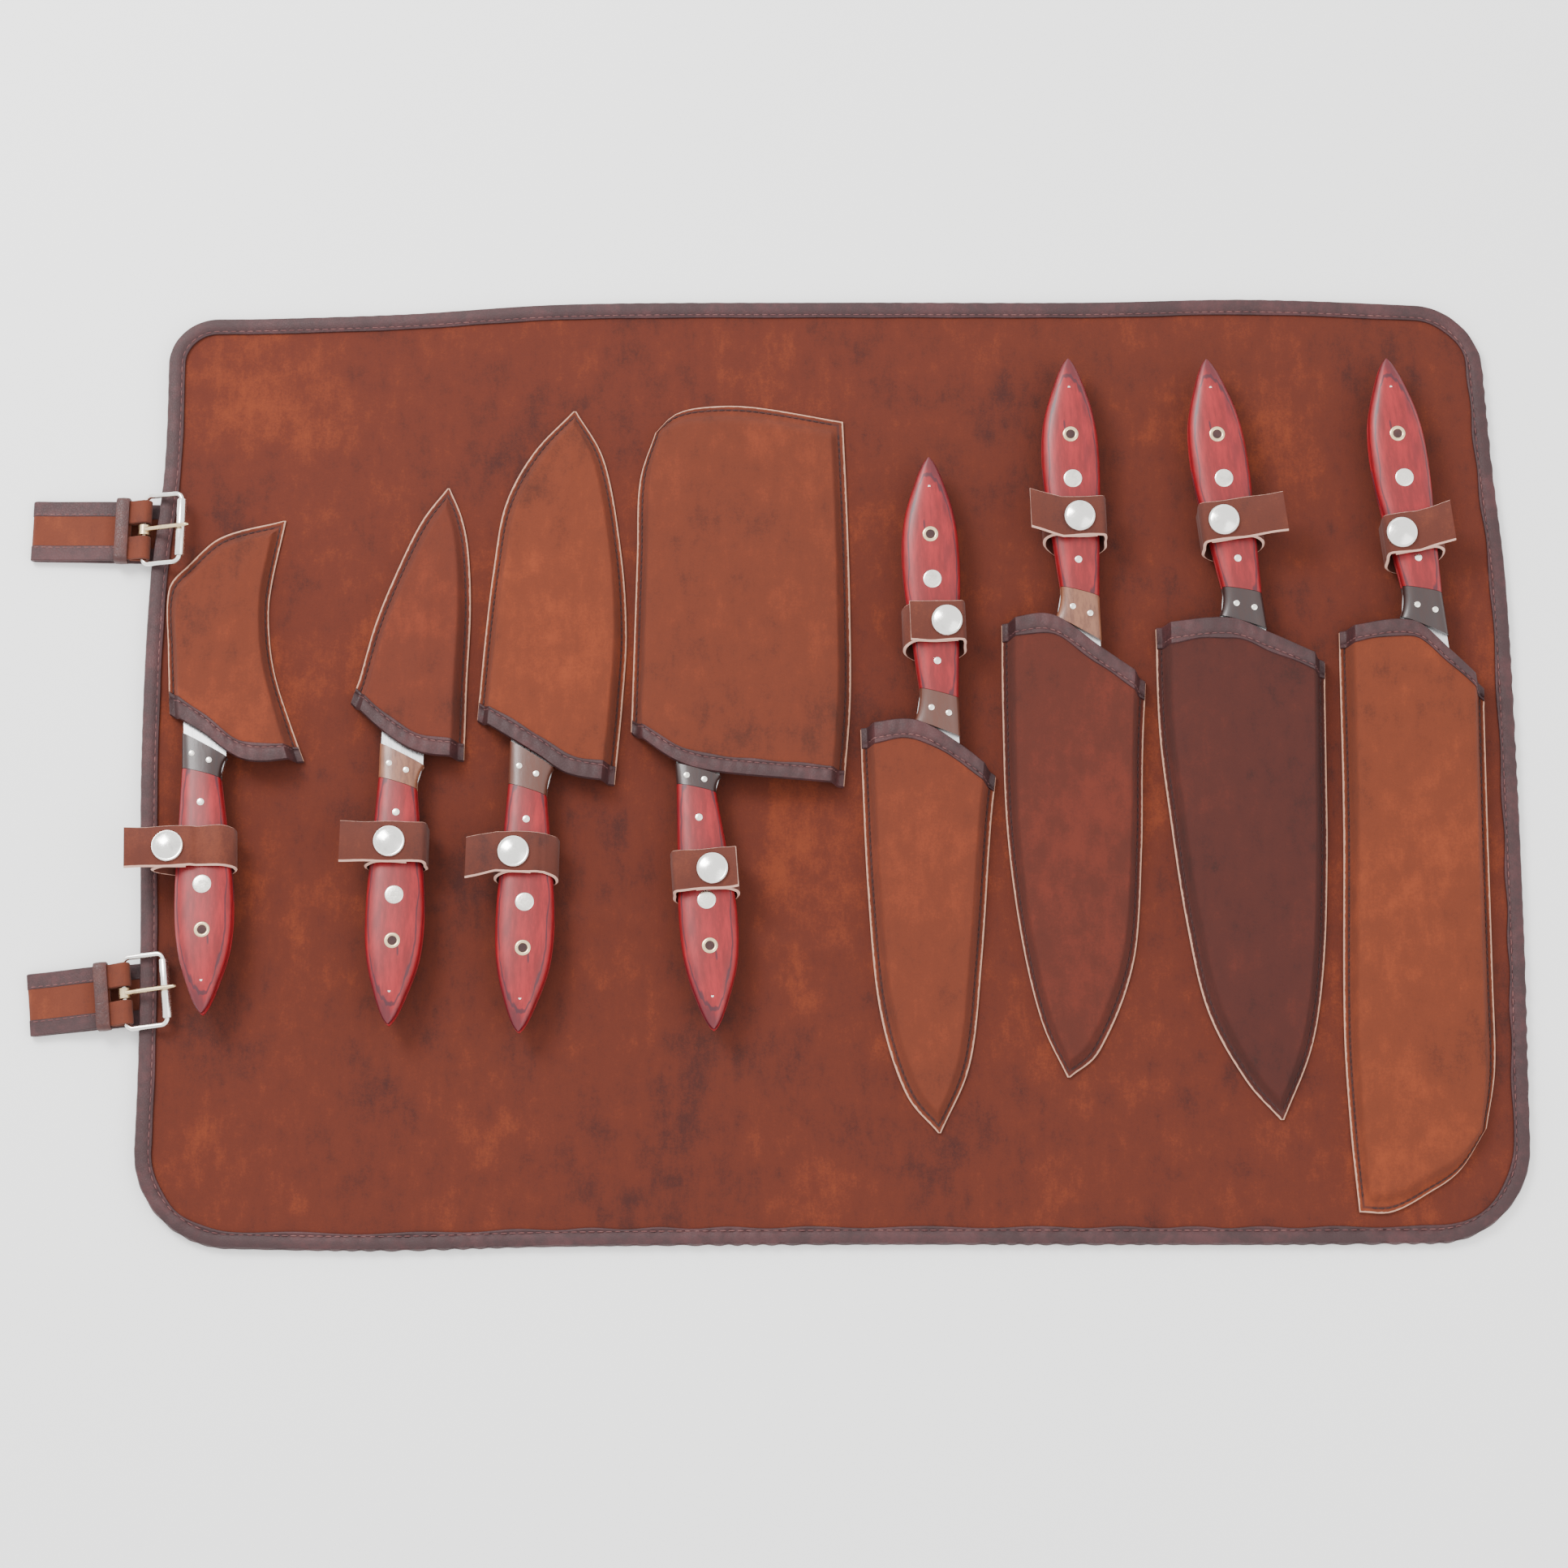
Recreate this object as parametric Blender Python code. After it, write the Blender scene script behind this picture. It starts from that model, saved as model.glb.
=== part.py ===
"""Opened chef knife roll lying flat: suede panel, eight filled pockets, keepers and two buckled straps.

Metres, +Z up, +X along the roll, +Y towards its top edge. The origin is on the table under the middle of
the whole thing, straps included. The pieces are laid out round the middle of the panel's underside, and
the root empty then carries them to the origin. A knife has its own frame: X from the bolster to the butt,
Y towards the cutting edge, Z up through the thickness, with the origin where the wood meets the bolster.
"""

import math
from collections import namedtuple

import bmesh
import bpy
from mathutils import Matrix, Vector

# Leather
PANEL_T = 0.0022
POCKET_T = 0.0016
BINDING_T = 0.0009
KEEPER_T = 0.0015
STRAP_T = 0.0020
LOOP_T = 0.0014
GAP = 0.0003
LAYER_ROOM = 0.0006
TABLE_Z = -(GAP + BINDING_T)

# Panel
LEFT_MARGIN = 0.0097
RIGHT_MARGIN = 0.0143
TOP_MARGIN = 0.0276
BOTTOM_MARGIN = 0.0155
EDGE_WAVE = 0.010
EDGE_LIFT = 0.0030
EDGE_LIFT_REACH = 0.045
BINDING_W = 0.0075
CREASE_HEIGHT = 0.0012
CREASE_HALF = 0.008

# Pockets
UP_ROW_Y = 0.0
DOWN_ROW_Y = 0.075
RIM = 0.0040
SHOULDER = 0.0065
BLADE_INSET = 0.0072
TIP_CLEAR = 0.012
DOME = 0.0008
MOUTH_BINDING = 0.0080
BINDING_STEP = 0.0004
HEEL_INSET = 0.003
POCKET_ROWS = 4
MOUTH_SAMPLES = 60

# Knives
HANDLE_L = 0.1195
HANDLE_HALF_W = 0.0142
HANDLE_HALF_T = 0.0074
TANG_T = 0.0024
EDGE_T = 0.0007
TANG_INSET = 0.0006
FACET_W = 0.62
FACET_T = 0.48
BOLSTER_FLARE = 1.16
BOLSTER_SLIM = 0.80
NECK_SKEW = 0.30
MOUTH_GAP = 0.0008
PIN_SEAT = 0.0020
PIN_R = 0.0018
BIG_PIN_R = 0.0045
BOLSTER_PIN_R = 0.0015
BOLSTER_PIN_V = 0.0042
EYELET_R = 0.0038
BORE_R = 0.0023
HOLE_ROOM = 0.0003
TILT_ROOM = 0.0007

# Keepers and snaps
KEEPER_W = 0.020
KEEPER_SLACK = 0.0005
INNER_LAP = 0.0085
SNAP_R = 0.0078
SNAP_H = 0.0026
SNAP_RIM_H = 0.0008
TAIL_CURL = 0.0012
POST_R = 0.0020

# Closing straps and roller buckles
STRAP_W = 0.030
STRAP_TUCK = 0.020
FOLD_BACK = 0.0145
FLAT_RUN = 0.020
LOOP_W = 0.0065
WIRE_R = 0.0013
FRAME_L = 0.0205
FRAME_HALF_W = 0.0175
FRAME_CORNER = 0.0020
WRAP_ROOM = 0.00035
WRAP_RUN = 2.4
ROLLER_R = 0.0024
ROLLER_L = 0.0290
BORE_ROOM = 0.00045
PRONG_L = 0.0270
PRONG_R = 0.0011
PRONG_BASE = 0.0027
PRONG_HALF_W = 0.0028
SLOT_HALF_W = 0.0033
HEEL_STANDOFF = 0.0048

SIDES_SMALL = 6
SIDES = 8

Station = namedtuple(
    "Station",
    "outline tip_up width length gap rise handle_at lean steel bolster heel_skew"
    " keeper_at snap_v tail_side tail skew",
)
# One row per knife. Lengths in metres, lean in degrees, handle_at a share of the pocket's width and
# keeper_at a share of the handle. snap_v, tail_side and skew are along the knife's own Y.
STATIONS = (
    Station("trailing", True, 0.0694, 0.1244, 0.0, 0.0073, 0.26, 2.5, 0.0025, 0.0155, 0.60,
            0.320, -0.0150, -1, 0.021, 0.00),
    Station("utility", True, 0.0582, 0.1396, 0.0224, 0.0090, 0.46, -0.7, 0.0045, 0.0155, 0.50,
            0.262, -0.0020, -1, 0.024, 0.02),
    Station("chef", True, 0.0733, 0.1922, 0.0043, -0.0033, 0.39, -1.1, 0.0, 0.0190, 0.60,
            0.275, -0.0050, -1, 0.023, 0.25),
    Station("cleaver", True, 0.1084, 0.1953, 0.0026, -0.0041, 0.315, 4.4, 0.0, 0.0100, 0.36,
            0.355, 0.0050, 1, 0.012, 0.00),
    Station("carving", False, 0.0665, 0.2011, 0.0048, -0.0486, 0.415, 2.1, 0.0, 0.0180, 0.42,
            0.290, -0.0050, 1, 0.018, 0.05),
    Station("broad", False, 0.0710, 0.2274, 0.0037, 0.0047, 0.45, 2.1, 0.0, 0.0195, 0.60,
            0.305, -0.0010, 1, 0.024, 0.32),
    Station("santoku", False, 0.0836, 0.2462, 0.0054, 0.0029, 0.47, 7.4, 0.0, 0.0165, 0.45,
            0.290, 0.0050, -1, 0.031, 0.02),
    Station("slicer", False, 0.0746, 0.2892, 0.0036, 0.0015, 0.40, 6.9, 0.0, 0.0190, 0.56,
            0.235, 0.0075, -1, 0.026, 0.18),
)

Outline = namedtuple("Outline", "mouth spine edge end")
# Pocket shapes in shares of width and length: across from the spine side, and from the mouth to the tip.
OUTLINES = {
    "trailing": Outline(
        mouth=((0.04, 0.20), (0.28, 0.12), (0.60, 0.00), (1.00, 0.01)),
        spine=((0.04, 0.20), (0.01, 0.46), (0.00, 0.71), (0.13, 0.81), (0.36, 0.93), (0.80, 1.00)),
        edge=((1.00, 0.01), (0.89, 0.17), (0.78, 0.35), (0.73, 0.50), (0.72, 0.68), (0.82, 1.00)),
        end=((0.80, 1.00), (0.82, 1.00)),
    ),
    "utility": Outline(
        mouth=((0.00, 0.21), (0.31, 0.09), (0.59, 0.02), (0.97, 0.00)),
        spine=((0.00, 0.21), (0.06, 0.29), (0.19, 0.50), (0.38, 0.71), (0.57, 0.88), (0.78, 1.00)),
        edge=((0.97, 0.00), (0.98, 0.27), (1.00, 0.55), (0.97, 0.77), (0.91, 0.89), (0.80, 1.00)),
        end=((0.78, 1.00), (0.80, 1.00)),
    ),
    "chef": Outline(
        mouth=((0.00, 0.17), (0.42, 0.07), (0.62, 0.02), (0.93, 0.00)),
        spine=((0.00, 0.17), (0.04, 0.38), (0.09, 0.57), (0.16, 0.74), (0.34, 0.88), (0.62, 1.00)),
        edge=((0.93, 0.00), (0.98, 0.23), (1.00, 0.40), (0.96, 0.61), (0.84, 0.86), (0.64, 1.00)),
        end=((0.62, 1.00), (0.64, 1.00)),
    ),
    "cleaver": Outline(
        mouth=((0.00, 0.14), (0.20, 0.06), (0.37, 0.03), (0.97, 0.00)),
        spine=((0.00, 0.14), (0.01, 0.37), (0.02, 0.60), (0.03, 0.80), (0.10, 0.93)),
        edge=((0.97, 0.00), (1.00, 0.22), (1.00, 0.45), (0.99, 0.69), (0.97, 0.96)),
        end=((0.10, 0.93), (0.19, 0.98), (0.33, 1.00), (0.55, 1.00), (0.97, 0.96)),
    ),
    "carving": Outline(
        mouth=((0.00, 0.13), (0.27, 0.06), (0.60, 0.00), (1.00, 0.01)),
        spine=((0.00, 0.13), (0.04, 0.25), (0.12, 0.59), (0.21, 0.83), (0.43, 1.00)),
        edge=((1.00, 0.01), (0.99, 0.12), (0.95, 0.42), (0.87, 0.70), (0.69, 0.90), (0.45, 1.00)),
        end=((0.43, 1.00), (0.45, 1.00)),
    ),
    "broad": Outline(
        mouth=((0.00, 0.14), (0.33, 0.07), (0.66, 0.00), (1.00, 0.01)),
        spine=((0.00, 0.14), (0.03, 0.31), (0.05, 0.51), (0.12, 0.75), (0.36, 0.94), (0.57, 1.00)),
        edge=((1.00, 0.01), (1.00, 0.20), (0.98, 0.46), (0.89, 0.70), (0.76, 0.88), (0.59, 1.00)),
        end=((0.57, 1.00), (0.59, 1.00)),
    ),
    "santoku": Outline(
        mouth=((0.00, 0.08), (0.34, 0.03), (0.57, 0.00), (1.00, 0.01)),
        spine=((0.00, 0.08), (0.01, 0.30), (0.02, 0.47), (0.06, 0.69), (0.14, 0.85), (0.32, 1.00)),
        edge=(
            (1.00, 0.01), (0.99, 0.22), (0.94, 0.39), (0.86, 0.60),
            (0.75, 0.78), (0.54, 0.92), (0.34, 1.00),
        ),
        end=((0.32, 1.00), (0.34, 1.00)),
    ),
    "slicer": Outline(
        mouth=((0.00, 0.11), (0.24, 0.05), (0.48, 0.00), (0.95, 0.01)),
        spine=((0.00, 0.11), (0.01, 0.33), (0.02, 0.62), (0.03, 0.76), (0.10, 0.86)),
        edge=((0.95, 0.01), (0.96, 0.33), (1.00, 0.69), (0.98, 0.86), (0.94, 1.00)),
        end=((0.10, 0.86), (0.28, 0.93), (0.50, 0.97), (0.73, 1.00), (0.94, 1.00)),
    ),
}

EdgeWave = namedtuple("EdgeWave", "at top bottom left right")
# How far each edge of the panel bulges out, as a share of EDGE_WAVE, along the edge from -0.5 to 0.5.
EDGE_WAVES = (
    EdgeWave(-0.50, -1.00, 0.00, -0.30, -0.20),
    EdgeWave(-0.33, -0.65, 0.20, -0.40, -0.10),
    EdgeWave(-0.20, -0.10, 0.00, -0.30, 0.00),
    EdgeWave(0.00, 0.00, -0.10, 0.00, 0.00),
    EdgeWave(0.20, 0.00, -0.10, -0.10, -0.15),
    EdgeWave(0.33, 0.15, -0.10, -0.60, -0.60),
    EdgeWave(0.50, -0.30, -0.20, -0.60, -1.00),
)
CORNER_R = {"top_left": 0.024, "top_right": 0.032, "bottom_left": 0.046, "bottom_right": 0.046}
CORNER_ROWS = (0.016, 0.033)

Crease = namedtuple("Crease", "x y height")
# The fold across the panel: x as a share of its width, y of its height, height of CREASE_HEIGHT.
CREASE = (
    Crease(-0.50, -0.12, 0.0),
    Crease(-0.33, -0.135, 0.0),
    Crease(-0.27, -0.145, 0.7),
    Crease(-0.14, -0.165, 1.0),
    Crease(-0.03, -0.190, 0.9),
    Crease(0.02, -0.200, 0.0),
    Crease(0.50, -0.280, 0.0),
)
PANEL_COLUMNS = (-0.33, -0.27, -0.14, -0.03, 0.02, 0.15, 0.30, 0.41)
PANEL_ROWS_BELOW = (-0.33,)
PANEL_ROWS_ABOVE = (0.0, 0.17, 0.34)

Section = namedtuple("Section", "at width thick sway")
# Handle sections along its length: half width, half thickness and sideways sway as shares.
HANDLE_SECTIONS = (
    Section(0.00, 0.67, 0.90, 0.00),
    Section(0.24, 0.83, 0.96, 0.04),
    Section(0.52, 1.00, 1.00, 0.08),
    Section(0.72, 0.91, 0.98, 0.07),
    Section(0.88, 0.54, 0.82, 0.03),
    Section(1.00, 0.08, 0.50, 0.00),
)
HandlePin = namedtuple("HandlePin", "at radius sides")
HANDLE_PINS = (
    HandlePin(0.13, PIN_R, SIDES_SMALL),
    HandlePin(0.475, BIG_PIN_R, SIDES),
    HandlePin(0.865, PIN_R, SIDES_SMALL),
)
EYELET_AT = 0.665

Buckle = namedtuple("Buckle", "name y length turn pitch")
# Where each strap leaves the left edge, as a share of the panel's height, and how its buckle lies.
BUCKLES = (
    Buckle("top", 0.246, 0.0560, -1.0, 20.0),
    Buckle("bottom", -0.2455, 0.0470, 6.0, 8.0),
)

Finish = namedtuple("Finish", "colour roughness metallic")
FINISHES = {
    "suede": Finish((0.27, 0.065, 0.022), 0.95, 0.0),
    "pocket_suede": Finish((0.32, 0.085, 0.028), 0.95, 0.0),
    "binding": Finish((0.075, 0.020, 0.022), 0.75, 0.0),
    "keeper_leather": Finish((0.21, 0.050, 0.020), 0.90, 0.0),
    "nickel": Finish((0.80, 0.79, 0.76), 0.22, 1.0),
    "blade_steel": Finish((0.62, 0.62, 0.62), 0.28, 1.0),
    "red_wood": Finish((0.50, 0.022, 0.045), 0.35, 0.0),
    "bolster_brown": Finish((0.09, 0.030, 0.022), 0.40, 0.0),
    "strap_suede": Finish((0.24, 0.060, 0.024), 0.92, 0.0),
    "loop_leather": Finish((0.070, 0.022, 0.020), 0.60, 0.0),
}


def finish_material(name):
    """Return the named finish as a Principled material, made once."""
    found = bpy.data.materials.get(name)
    if found:
        return found
    finish = FINISHES[name]
    made = bpy.data.materials.new(name)
    made.use_nodes = True
    shader = made.node_tree.nodes["Principled BSDF"]
    shader.inputs["Base Color"].default_value = (*finish.colour, 1.0)
    shader.inputs["Roughness"].default_value = finish.roughness
    shader.inputs["Metallic"].default_value = finish.metallic
    made.diffuse_color = (*finish.colour, 1.0)
    return made


def mesh_from(name, points, faces):
    """Return a mesh of the given points and faces with its normals facing out."""
    mesh = bpy.data.meshes.new(name)
    mesh.from_pydata([tuple(p) for p in points], [], faces)
    work = bmesh.new()
    work.from_mesh(mesh)
    bmesh.ops.recalc_face_normals(work, faces=work.faces)
    work.to_mesh(mesh)
    work.free()
    return mesh


def place(name, mesh, finish, matrix=None, parent=None):
    """Put a mesh in the scene as a named sub-part."""
    obj = bpy.data.objects.new(name, mesh)
    obj.data.materials.clear()
    obj.data.materials.append(finish_material(finish))
    bpy.context.scene.collection.objects.link(obj)
    if parent:
        obj.parent = parent
    if matrix:
        obj.matrix_local = matrix
    return obj


def combine(base, tool, operation):
    """Return a mesh: base united with, or cut by, tool. Both are meshes in one frame."""
    helpers = []
    for mesh in (base, tool):
        helper = bpy.data.objects.new("helper", mesh)
        bpy.context.scene.collection.objects.link(helper)
        helpers.append(helper)
    modifier = helpers[0].modifiers.new("shape", "BOOLEAN")
    modifier.operation = operation
    modifier.object = helpers[1]
    graph = bpy.context.evaluated_depsgraph_get()
    made = bpy.data.meshes.new_from_object(helpers[0].evaluated_get(graph))
    made.name = base.name
    for helper in helpers:
        bpy.data.objects.remove(helper)
    return made


def joined(name, meshes):
    """Return one mesh that holds several separate ones."""
    work = bmesh.new()
    for mesh in meshes:
        work.from_mesh(mesh)
    made = bpy.data.meshes.new(name)
    work.to_mesh(made)
    work.free()
    return made


def closed_grid(name, upper, lower):
    """Return a sheet between two grids of points of the same shape, closed round its rim."""
    rows = len(upper)
    cols = len(upper[0])
    points = [p for row in upper for p in row] + [p for row in lower for p in row]
    low = rows * cols

    def at(row, col):
        return row * cols + col

    faces = []
    for row in range(rows - 1):
        for col in range(cols - 1):
            quad = (at(row, col), at(row, col + 1), at(row + 1, col + 1), at(row + 1, col))
            faces.append(quad)
            faces.append(tuple(low + i for i in reversed(quad)))
    rim = [at(0, c) for c in range(cols - 1)] + [at(r, cols - 1) for r in range(rows - 1)]
    rim += [at(rows - 1, c) for c in range(cols - 1, 0, -1)] + [at(r, 0) for r in range(rows - 1, 0, -1)]
    for here, after in zip(rim, rim[1:] + rim[:1]):
        faces.append((here, here + low, after + low, after))
    return mesh_from(name, points, faces)


def loft(name, sections):
    """Return a solid through sections with the same number of points, capped at both ends."""
    sides = len(sections[0])
    points = [p for section in sections for p in section]
    faces = [tuple(range(sides)), tuple(range(len(points) - sides, len(points)))]
    for ring in range(len(sections) - 1):
        for side in range(sides):
            after = (side + 1) % sides
            base = ring * sides
            faces.append((base + side, base + after, base + sides + after, base + sides + side))
    return mesh_from(name, points, faces)


def ring_loft(name, sections):
    """Return a solid through sections that run round a closed path."""
    sides = len(sections[0])
    count = len(sections)
    points = [p for section in sections for p in section]
    faces = []
    for ring in range(count):
        base = ring * sides
        ahead = (ring + 1) % count * sides
        for side in range(sides):
            after = (side + 1) % sides
            faces.append((base + side, base + after, ahead + after, ahead + side))
    return mesh_from(name, points, faces)


def prism(name, profile, place_point, low, high):
    """Return the solid of a flat profile pushed from low to high. place_point gives the 3D point."""
    return loft(name, [[place_point(a, b, end) for a, b in profile] for end in (low, high)])


def round_bar(name, centre, radius, sides, low, high):
    """Return an upright round bar at centre (x, y) from height low to high."""
    turn = math.pi / sides
    profile = [
        (radius * math.cos(2 * math.pi * i / sides + turn), radius * math.sin(2 * math.pi * i / sides + turn))
        for i in range(sides)
    ]
    return prism(name, profile, lambda a, b, z: (centre[0] + a, centre[1] + b, z), low, high)


def smooth_at(points, share):
    """Return the point at a share of the way along a smooth curve through the given 2D points."""
    vectors = [Vector(p) for p in points]
    runs = [(b - a).length for a, b in zip(vectors, vectors[1:])]
    left = share * sum(runs)
    index = 0
    while index < len(runs) - 1 and left > runs[index]:
        left -= runs[index]
        index += 1
    t = left / runs[index]
    here = vectors[index]
    after = vectors[index + 1]
    slope_here = (after - here) / runs[index]
    if index:
        slope_here = (after - vectors[index - 1]) / (runs[index] + runs[index - 1])
    if index + 2 < len(vectors):
        slope_after = (vectors[index + 2] - here) / (runs[index + 1] + runs[index])
    else:
        slope_after = (after - here) / runs[index]
    t2 = t * t
    t3 = t2 * t
    return (
        here * (2 * t3 - 3 * t2 + 1)
        + slope_here * runs[index] * (t3 - 2 * t2 + t)
        + after * (3 * t2 - 2 * t3)
        + slope_after * runs[index] * (t3 - t2)
    )


def table_at(rows, share, column, key="at"):
    """Return a column of a table at a share, in straight lines between its rows."""
    for here, after in zip(rows, rows[1:]):
        if share <= getattr(after, key):
            span = getattr(after, key) - getattr(here, key)
            t = (share - getattr(here, key)) / span
            return getattr(here, column) * (1 - t) + getattr(after, column) * t
    return getattr(rows[-1], column)


def thick_path(points, thickness):
    """Return the closed profile of a band of even thickness whose middle follows the given points."""
    vectors = [Vector(p) for p in points]
    count = len(vectors)
    sides = ([], [])
    for i, point in enumerate(vectors):
        before = (point - vectors[i - 1]).normalized() if i else (vectors[1] - point).normalized()
        after = (vectors[i + 1] - point).normalized() if i + 1 < count else before
        middle = (before + after).normalized()
        normal = Vector((-middle.y, middle.x))
        reach = thickness / 2 / max(0.35, normal.dot(Vector((-before.y, before.x))))
        sides[0].append(point + normal * reach)
        sides[1].append(point - normal * reach)
    return [tuple(p) for p in sides[0]] + [tuple(p) for p in reversed(sides[1])]


class Layout:
    """Where the pockets, knives and panel edges lie, worked out from the driving sizes."""

    def __init__(self):
        """Lay the stations side by side and fit the panel round them."""
        cursor = LEFT_MARGIN
        lefts = []
        for station in STATIONS:
            cursor += station.gap
            lefts.append(cursor)
            cursor += station.width
        self.width = cursor + RIGHT_MARGIN
        tops = []
        bottoms = []
        for station in STATIONS:
            mouth = (UP_ROW_Y if station.tip_up else DOWN_ROW_Y) + station.rise
            reach = station.bolster + HANDLE_L + station.steel
            tops.append(mouth + (station.length if station.tip_up else reach))
            bottoms.append(mouth - (reach if station.tip_up else station.length))
        top = max(tops) + TOP_MARGIN
        bottom = min(bottoms) - BOTTOM_MARGIN
        self.height = top - bottom
        self.shift = (top + bottom) / 2
        self.lefts = [x - self.width / 2 for x in lefts]

    def edge_out(self, side, share):
        """Return how far an edge bulges out at a share along it."""
        return EDGE_WAVE * table_at(EDGE_WAVES, share, side)

    def left_x(self, y):
        """Return the panel's left edge at height y, without its corners."""
        return -self.width / 2 - self.edge_out("left", y / self.height)

    def right_x(self, y):
        """Return the panel's right edge at height y, without its corners."""
        return self.width / 2 + self.edge_out("right", y / self.height)

    def top_y(self, x):
        """Return the panel's top edge at x, without its corners."""
        return self.height / 2 + self.edge_out("top", x / self.width)

    def bottom_y(self, x):
        """Return the panel's bottom edge at x, without its corners."""
        return -self.height / 2 - self.edge_out("bottom", x / self.width)

    def knee_x(self):
        """Return where the lifted left edge has come down flat."""
        return -self.width / 2 + EDGE_LIFT_REACH

    def lift(self, x):
        """Return how far the left edge of the panel rides up over the straps tucked under it."""
        return EDGE_LIFT * max(0.0, (self.knee_x() - x) / EDGE_LIFT_REACH)

    def crease_y(self, x):
        """Return the middle of the fold at x."""
        return self.height * table_at(CREASE, x / self.width, "y", "x")

    def crease_z(self, x):
        """Return the height of the fold at x."""
        return CREASE_HEIGHT * table_at(CREASE, x / self.width, "height", "x")

    def under(self, x):
        """Return the height of the panel's underside at x, away from the fold."""
        return self.lift(x)

    def top(self, x):
        """Return the height of the panel's upper face at x, away from the fold."""
        return self.under(x) + PANEL_T


def corner_drop(distance, radius):
    """Return how far a rounded corner falls back at a distance in from its side."""
    inside = max(0.0, radius - distance)
    return radius - math.sqrt(max(0.0, radius * radius - inside * inside))


def panel_grid(layout):
    """Return the plan of the panel as rows of (x, y, crease share) from bottom to top."""
    half_w = layout.width / 2
    half_h = layout.height / 2
    xs = [inset - half_w for inset in CORNER_ROWS] + [layout.knee_x()]
    xs += [share * layout.width for share in PANEL_COLUMNS]
    xs += [half_w - inset for inset in reversed(CORNER_ROWS)]

    def y_rows(x):
        fold = layout.crease_y(x)
        rows = [inset - half_h for inset in CORNER_ROWS]
        rows += [share * layout.height for share in PANEL_ROWS_BELOW]
        rows += [fold - CREASE_HALF, fold, fold + CREASE_HALF]
        rows += [share * layout.height for share in PANEL_ROWS_ABOVE]
        return rows + [half_h - inset for inset in reversed(CORNER_ROWS)]

    fold_row = 2 + len(CORNER_ROWS) + len(PANEL_ROWS_BELOW)
    count = len(y_rows(0.0)) + 2
    grid = [[None] * (len(xs) + 2) for _ in range(count)]
    for col, x in enumerate(xs, start=1):
        top = layout.top_y(x) - corner_drop(x + half_w, CORNER_R["top_left"])
        top -= corner_drop(half_w - x, CORNER_R["top_right"])
        bottom = layout.bottom_y(x) + corner_drop(x + half_w, CORNER_R["bottom_left"])
        bottom += corner_drop(half_w - x, CORNER_R["bottom_right"])
        column = [bottom] + y_rows(x) + [top]
        for row, y in enumerate(column):
            grid[row][col] = (x, y, layout.crease_z(x) if row == fold_row else 0.0)
    for col, x, sign in ((0, -half_w, 1), (len(xs) + 1, half_w, -1)):
        side = "left" if sign > 0 else "right"
        edge = layout.left_x if sign > 0 else layout.right_x
        for row, y in enumerate(y_rows(x), start=1):
            drop = corner_drop(y + half_h, CORNER_R["bottom_" + side])
            drop += corner_drop(half_h - y, CORNER_R["top_" + side])
            grid[row][col] = (edge(y) + sign * drop, y, 0.0)
        for row, name, end in ((0, "bottom_", -1), (count - 1, "top_", 1)):
            back = CORNER_R[name + side] * (1 - math.sqrt(0.5))
            y_edge = layout.top_y(x) if end > 0 else layout.bottom_y(x)
            grid[row][col] = (edge(end * half_h) + sign * back, y_edge - end * back, 0.0)
    return grid


def grid_rim(grid):
    """Return the outer points of a grid in order, anticlockwise."""
    rim = list(grid[0][:-1]) + [row[-1] for row in grid[:-1]]
    rim += list(reversed(grid[-1][1:])) + [row[0] for row in reversed(grid[1:])]
    return [Vector(p[:2]) for p in rim]


def build_panel(layout, grid):
    """Make the back panel, flat apart from its lifted left edge and the fold across it."""
    upper = [[(x, y, layout.top(x) + fold) for x, y, fold in row] for row in grid]
    lower = [[(x, y, layout.under(x) + fold) for x, y, fold in row] for row in grid]
    place("back_panel", closed_grid("back_panel", upper, lower), "suede")


def build_edge_binding(layout, grid):
    """Make the folded leather binding that wraps the panel's edge all round."""
    rim = grid_rim(grid)
    count = len(rim)
    inner = GAP
    outer = GAP + BINDING_T
    profile = (
        (outer, -outer),
        (outer, PANEL_T + outer),
        (-BINDING_W, PANEL_T + outer),
        (-BINDING_W, PANEL_T + inner),
        (inner, PANEL_T + inner),
        (inner, -inner),
        (-BINDING_W, -inner),
        (-BINDING_W, -outer),
    )
    sections = []
    for i, point in enumerate(rim):
        before = (point - rim[i - 1]).normalized()
        after = (rim[(i + 1) % count] - point).normalized()
        middle = (before + after).normalized()
        outward = Vector((middle.y, -middle.x))
        reach = 1 / outward.dot(Vector((before.y, -before.x)))
        section = []
        for out, up in profile:
            spot = point + outward * reach * out
            section.append((spot.x, spot.y, layout.under(spot.x) + up))
        sections.append(section)
    place("edge_binding", ring_loft("edge_binding", sections), "binding")


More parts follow.
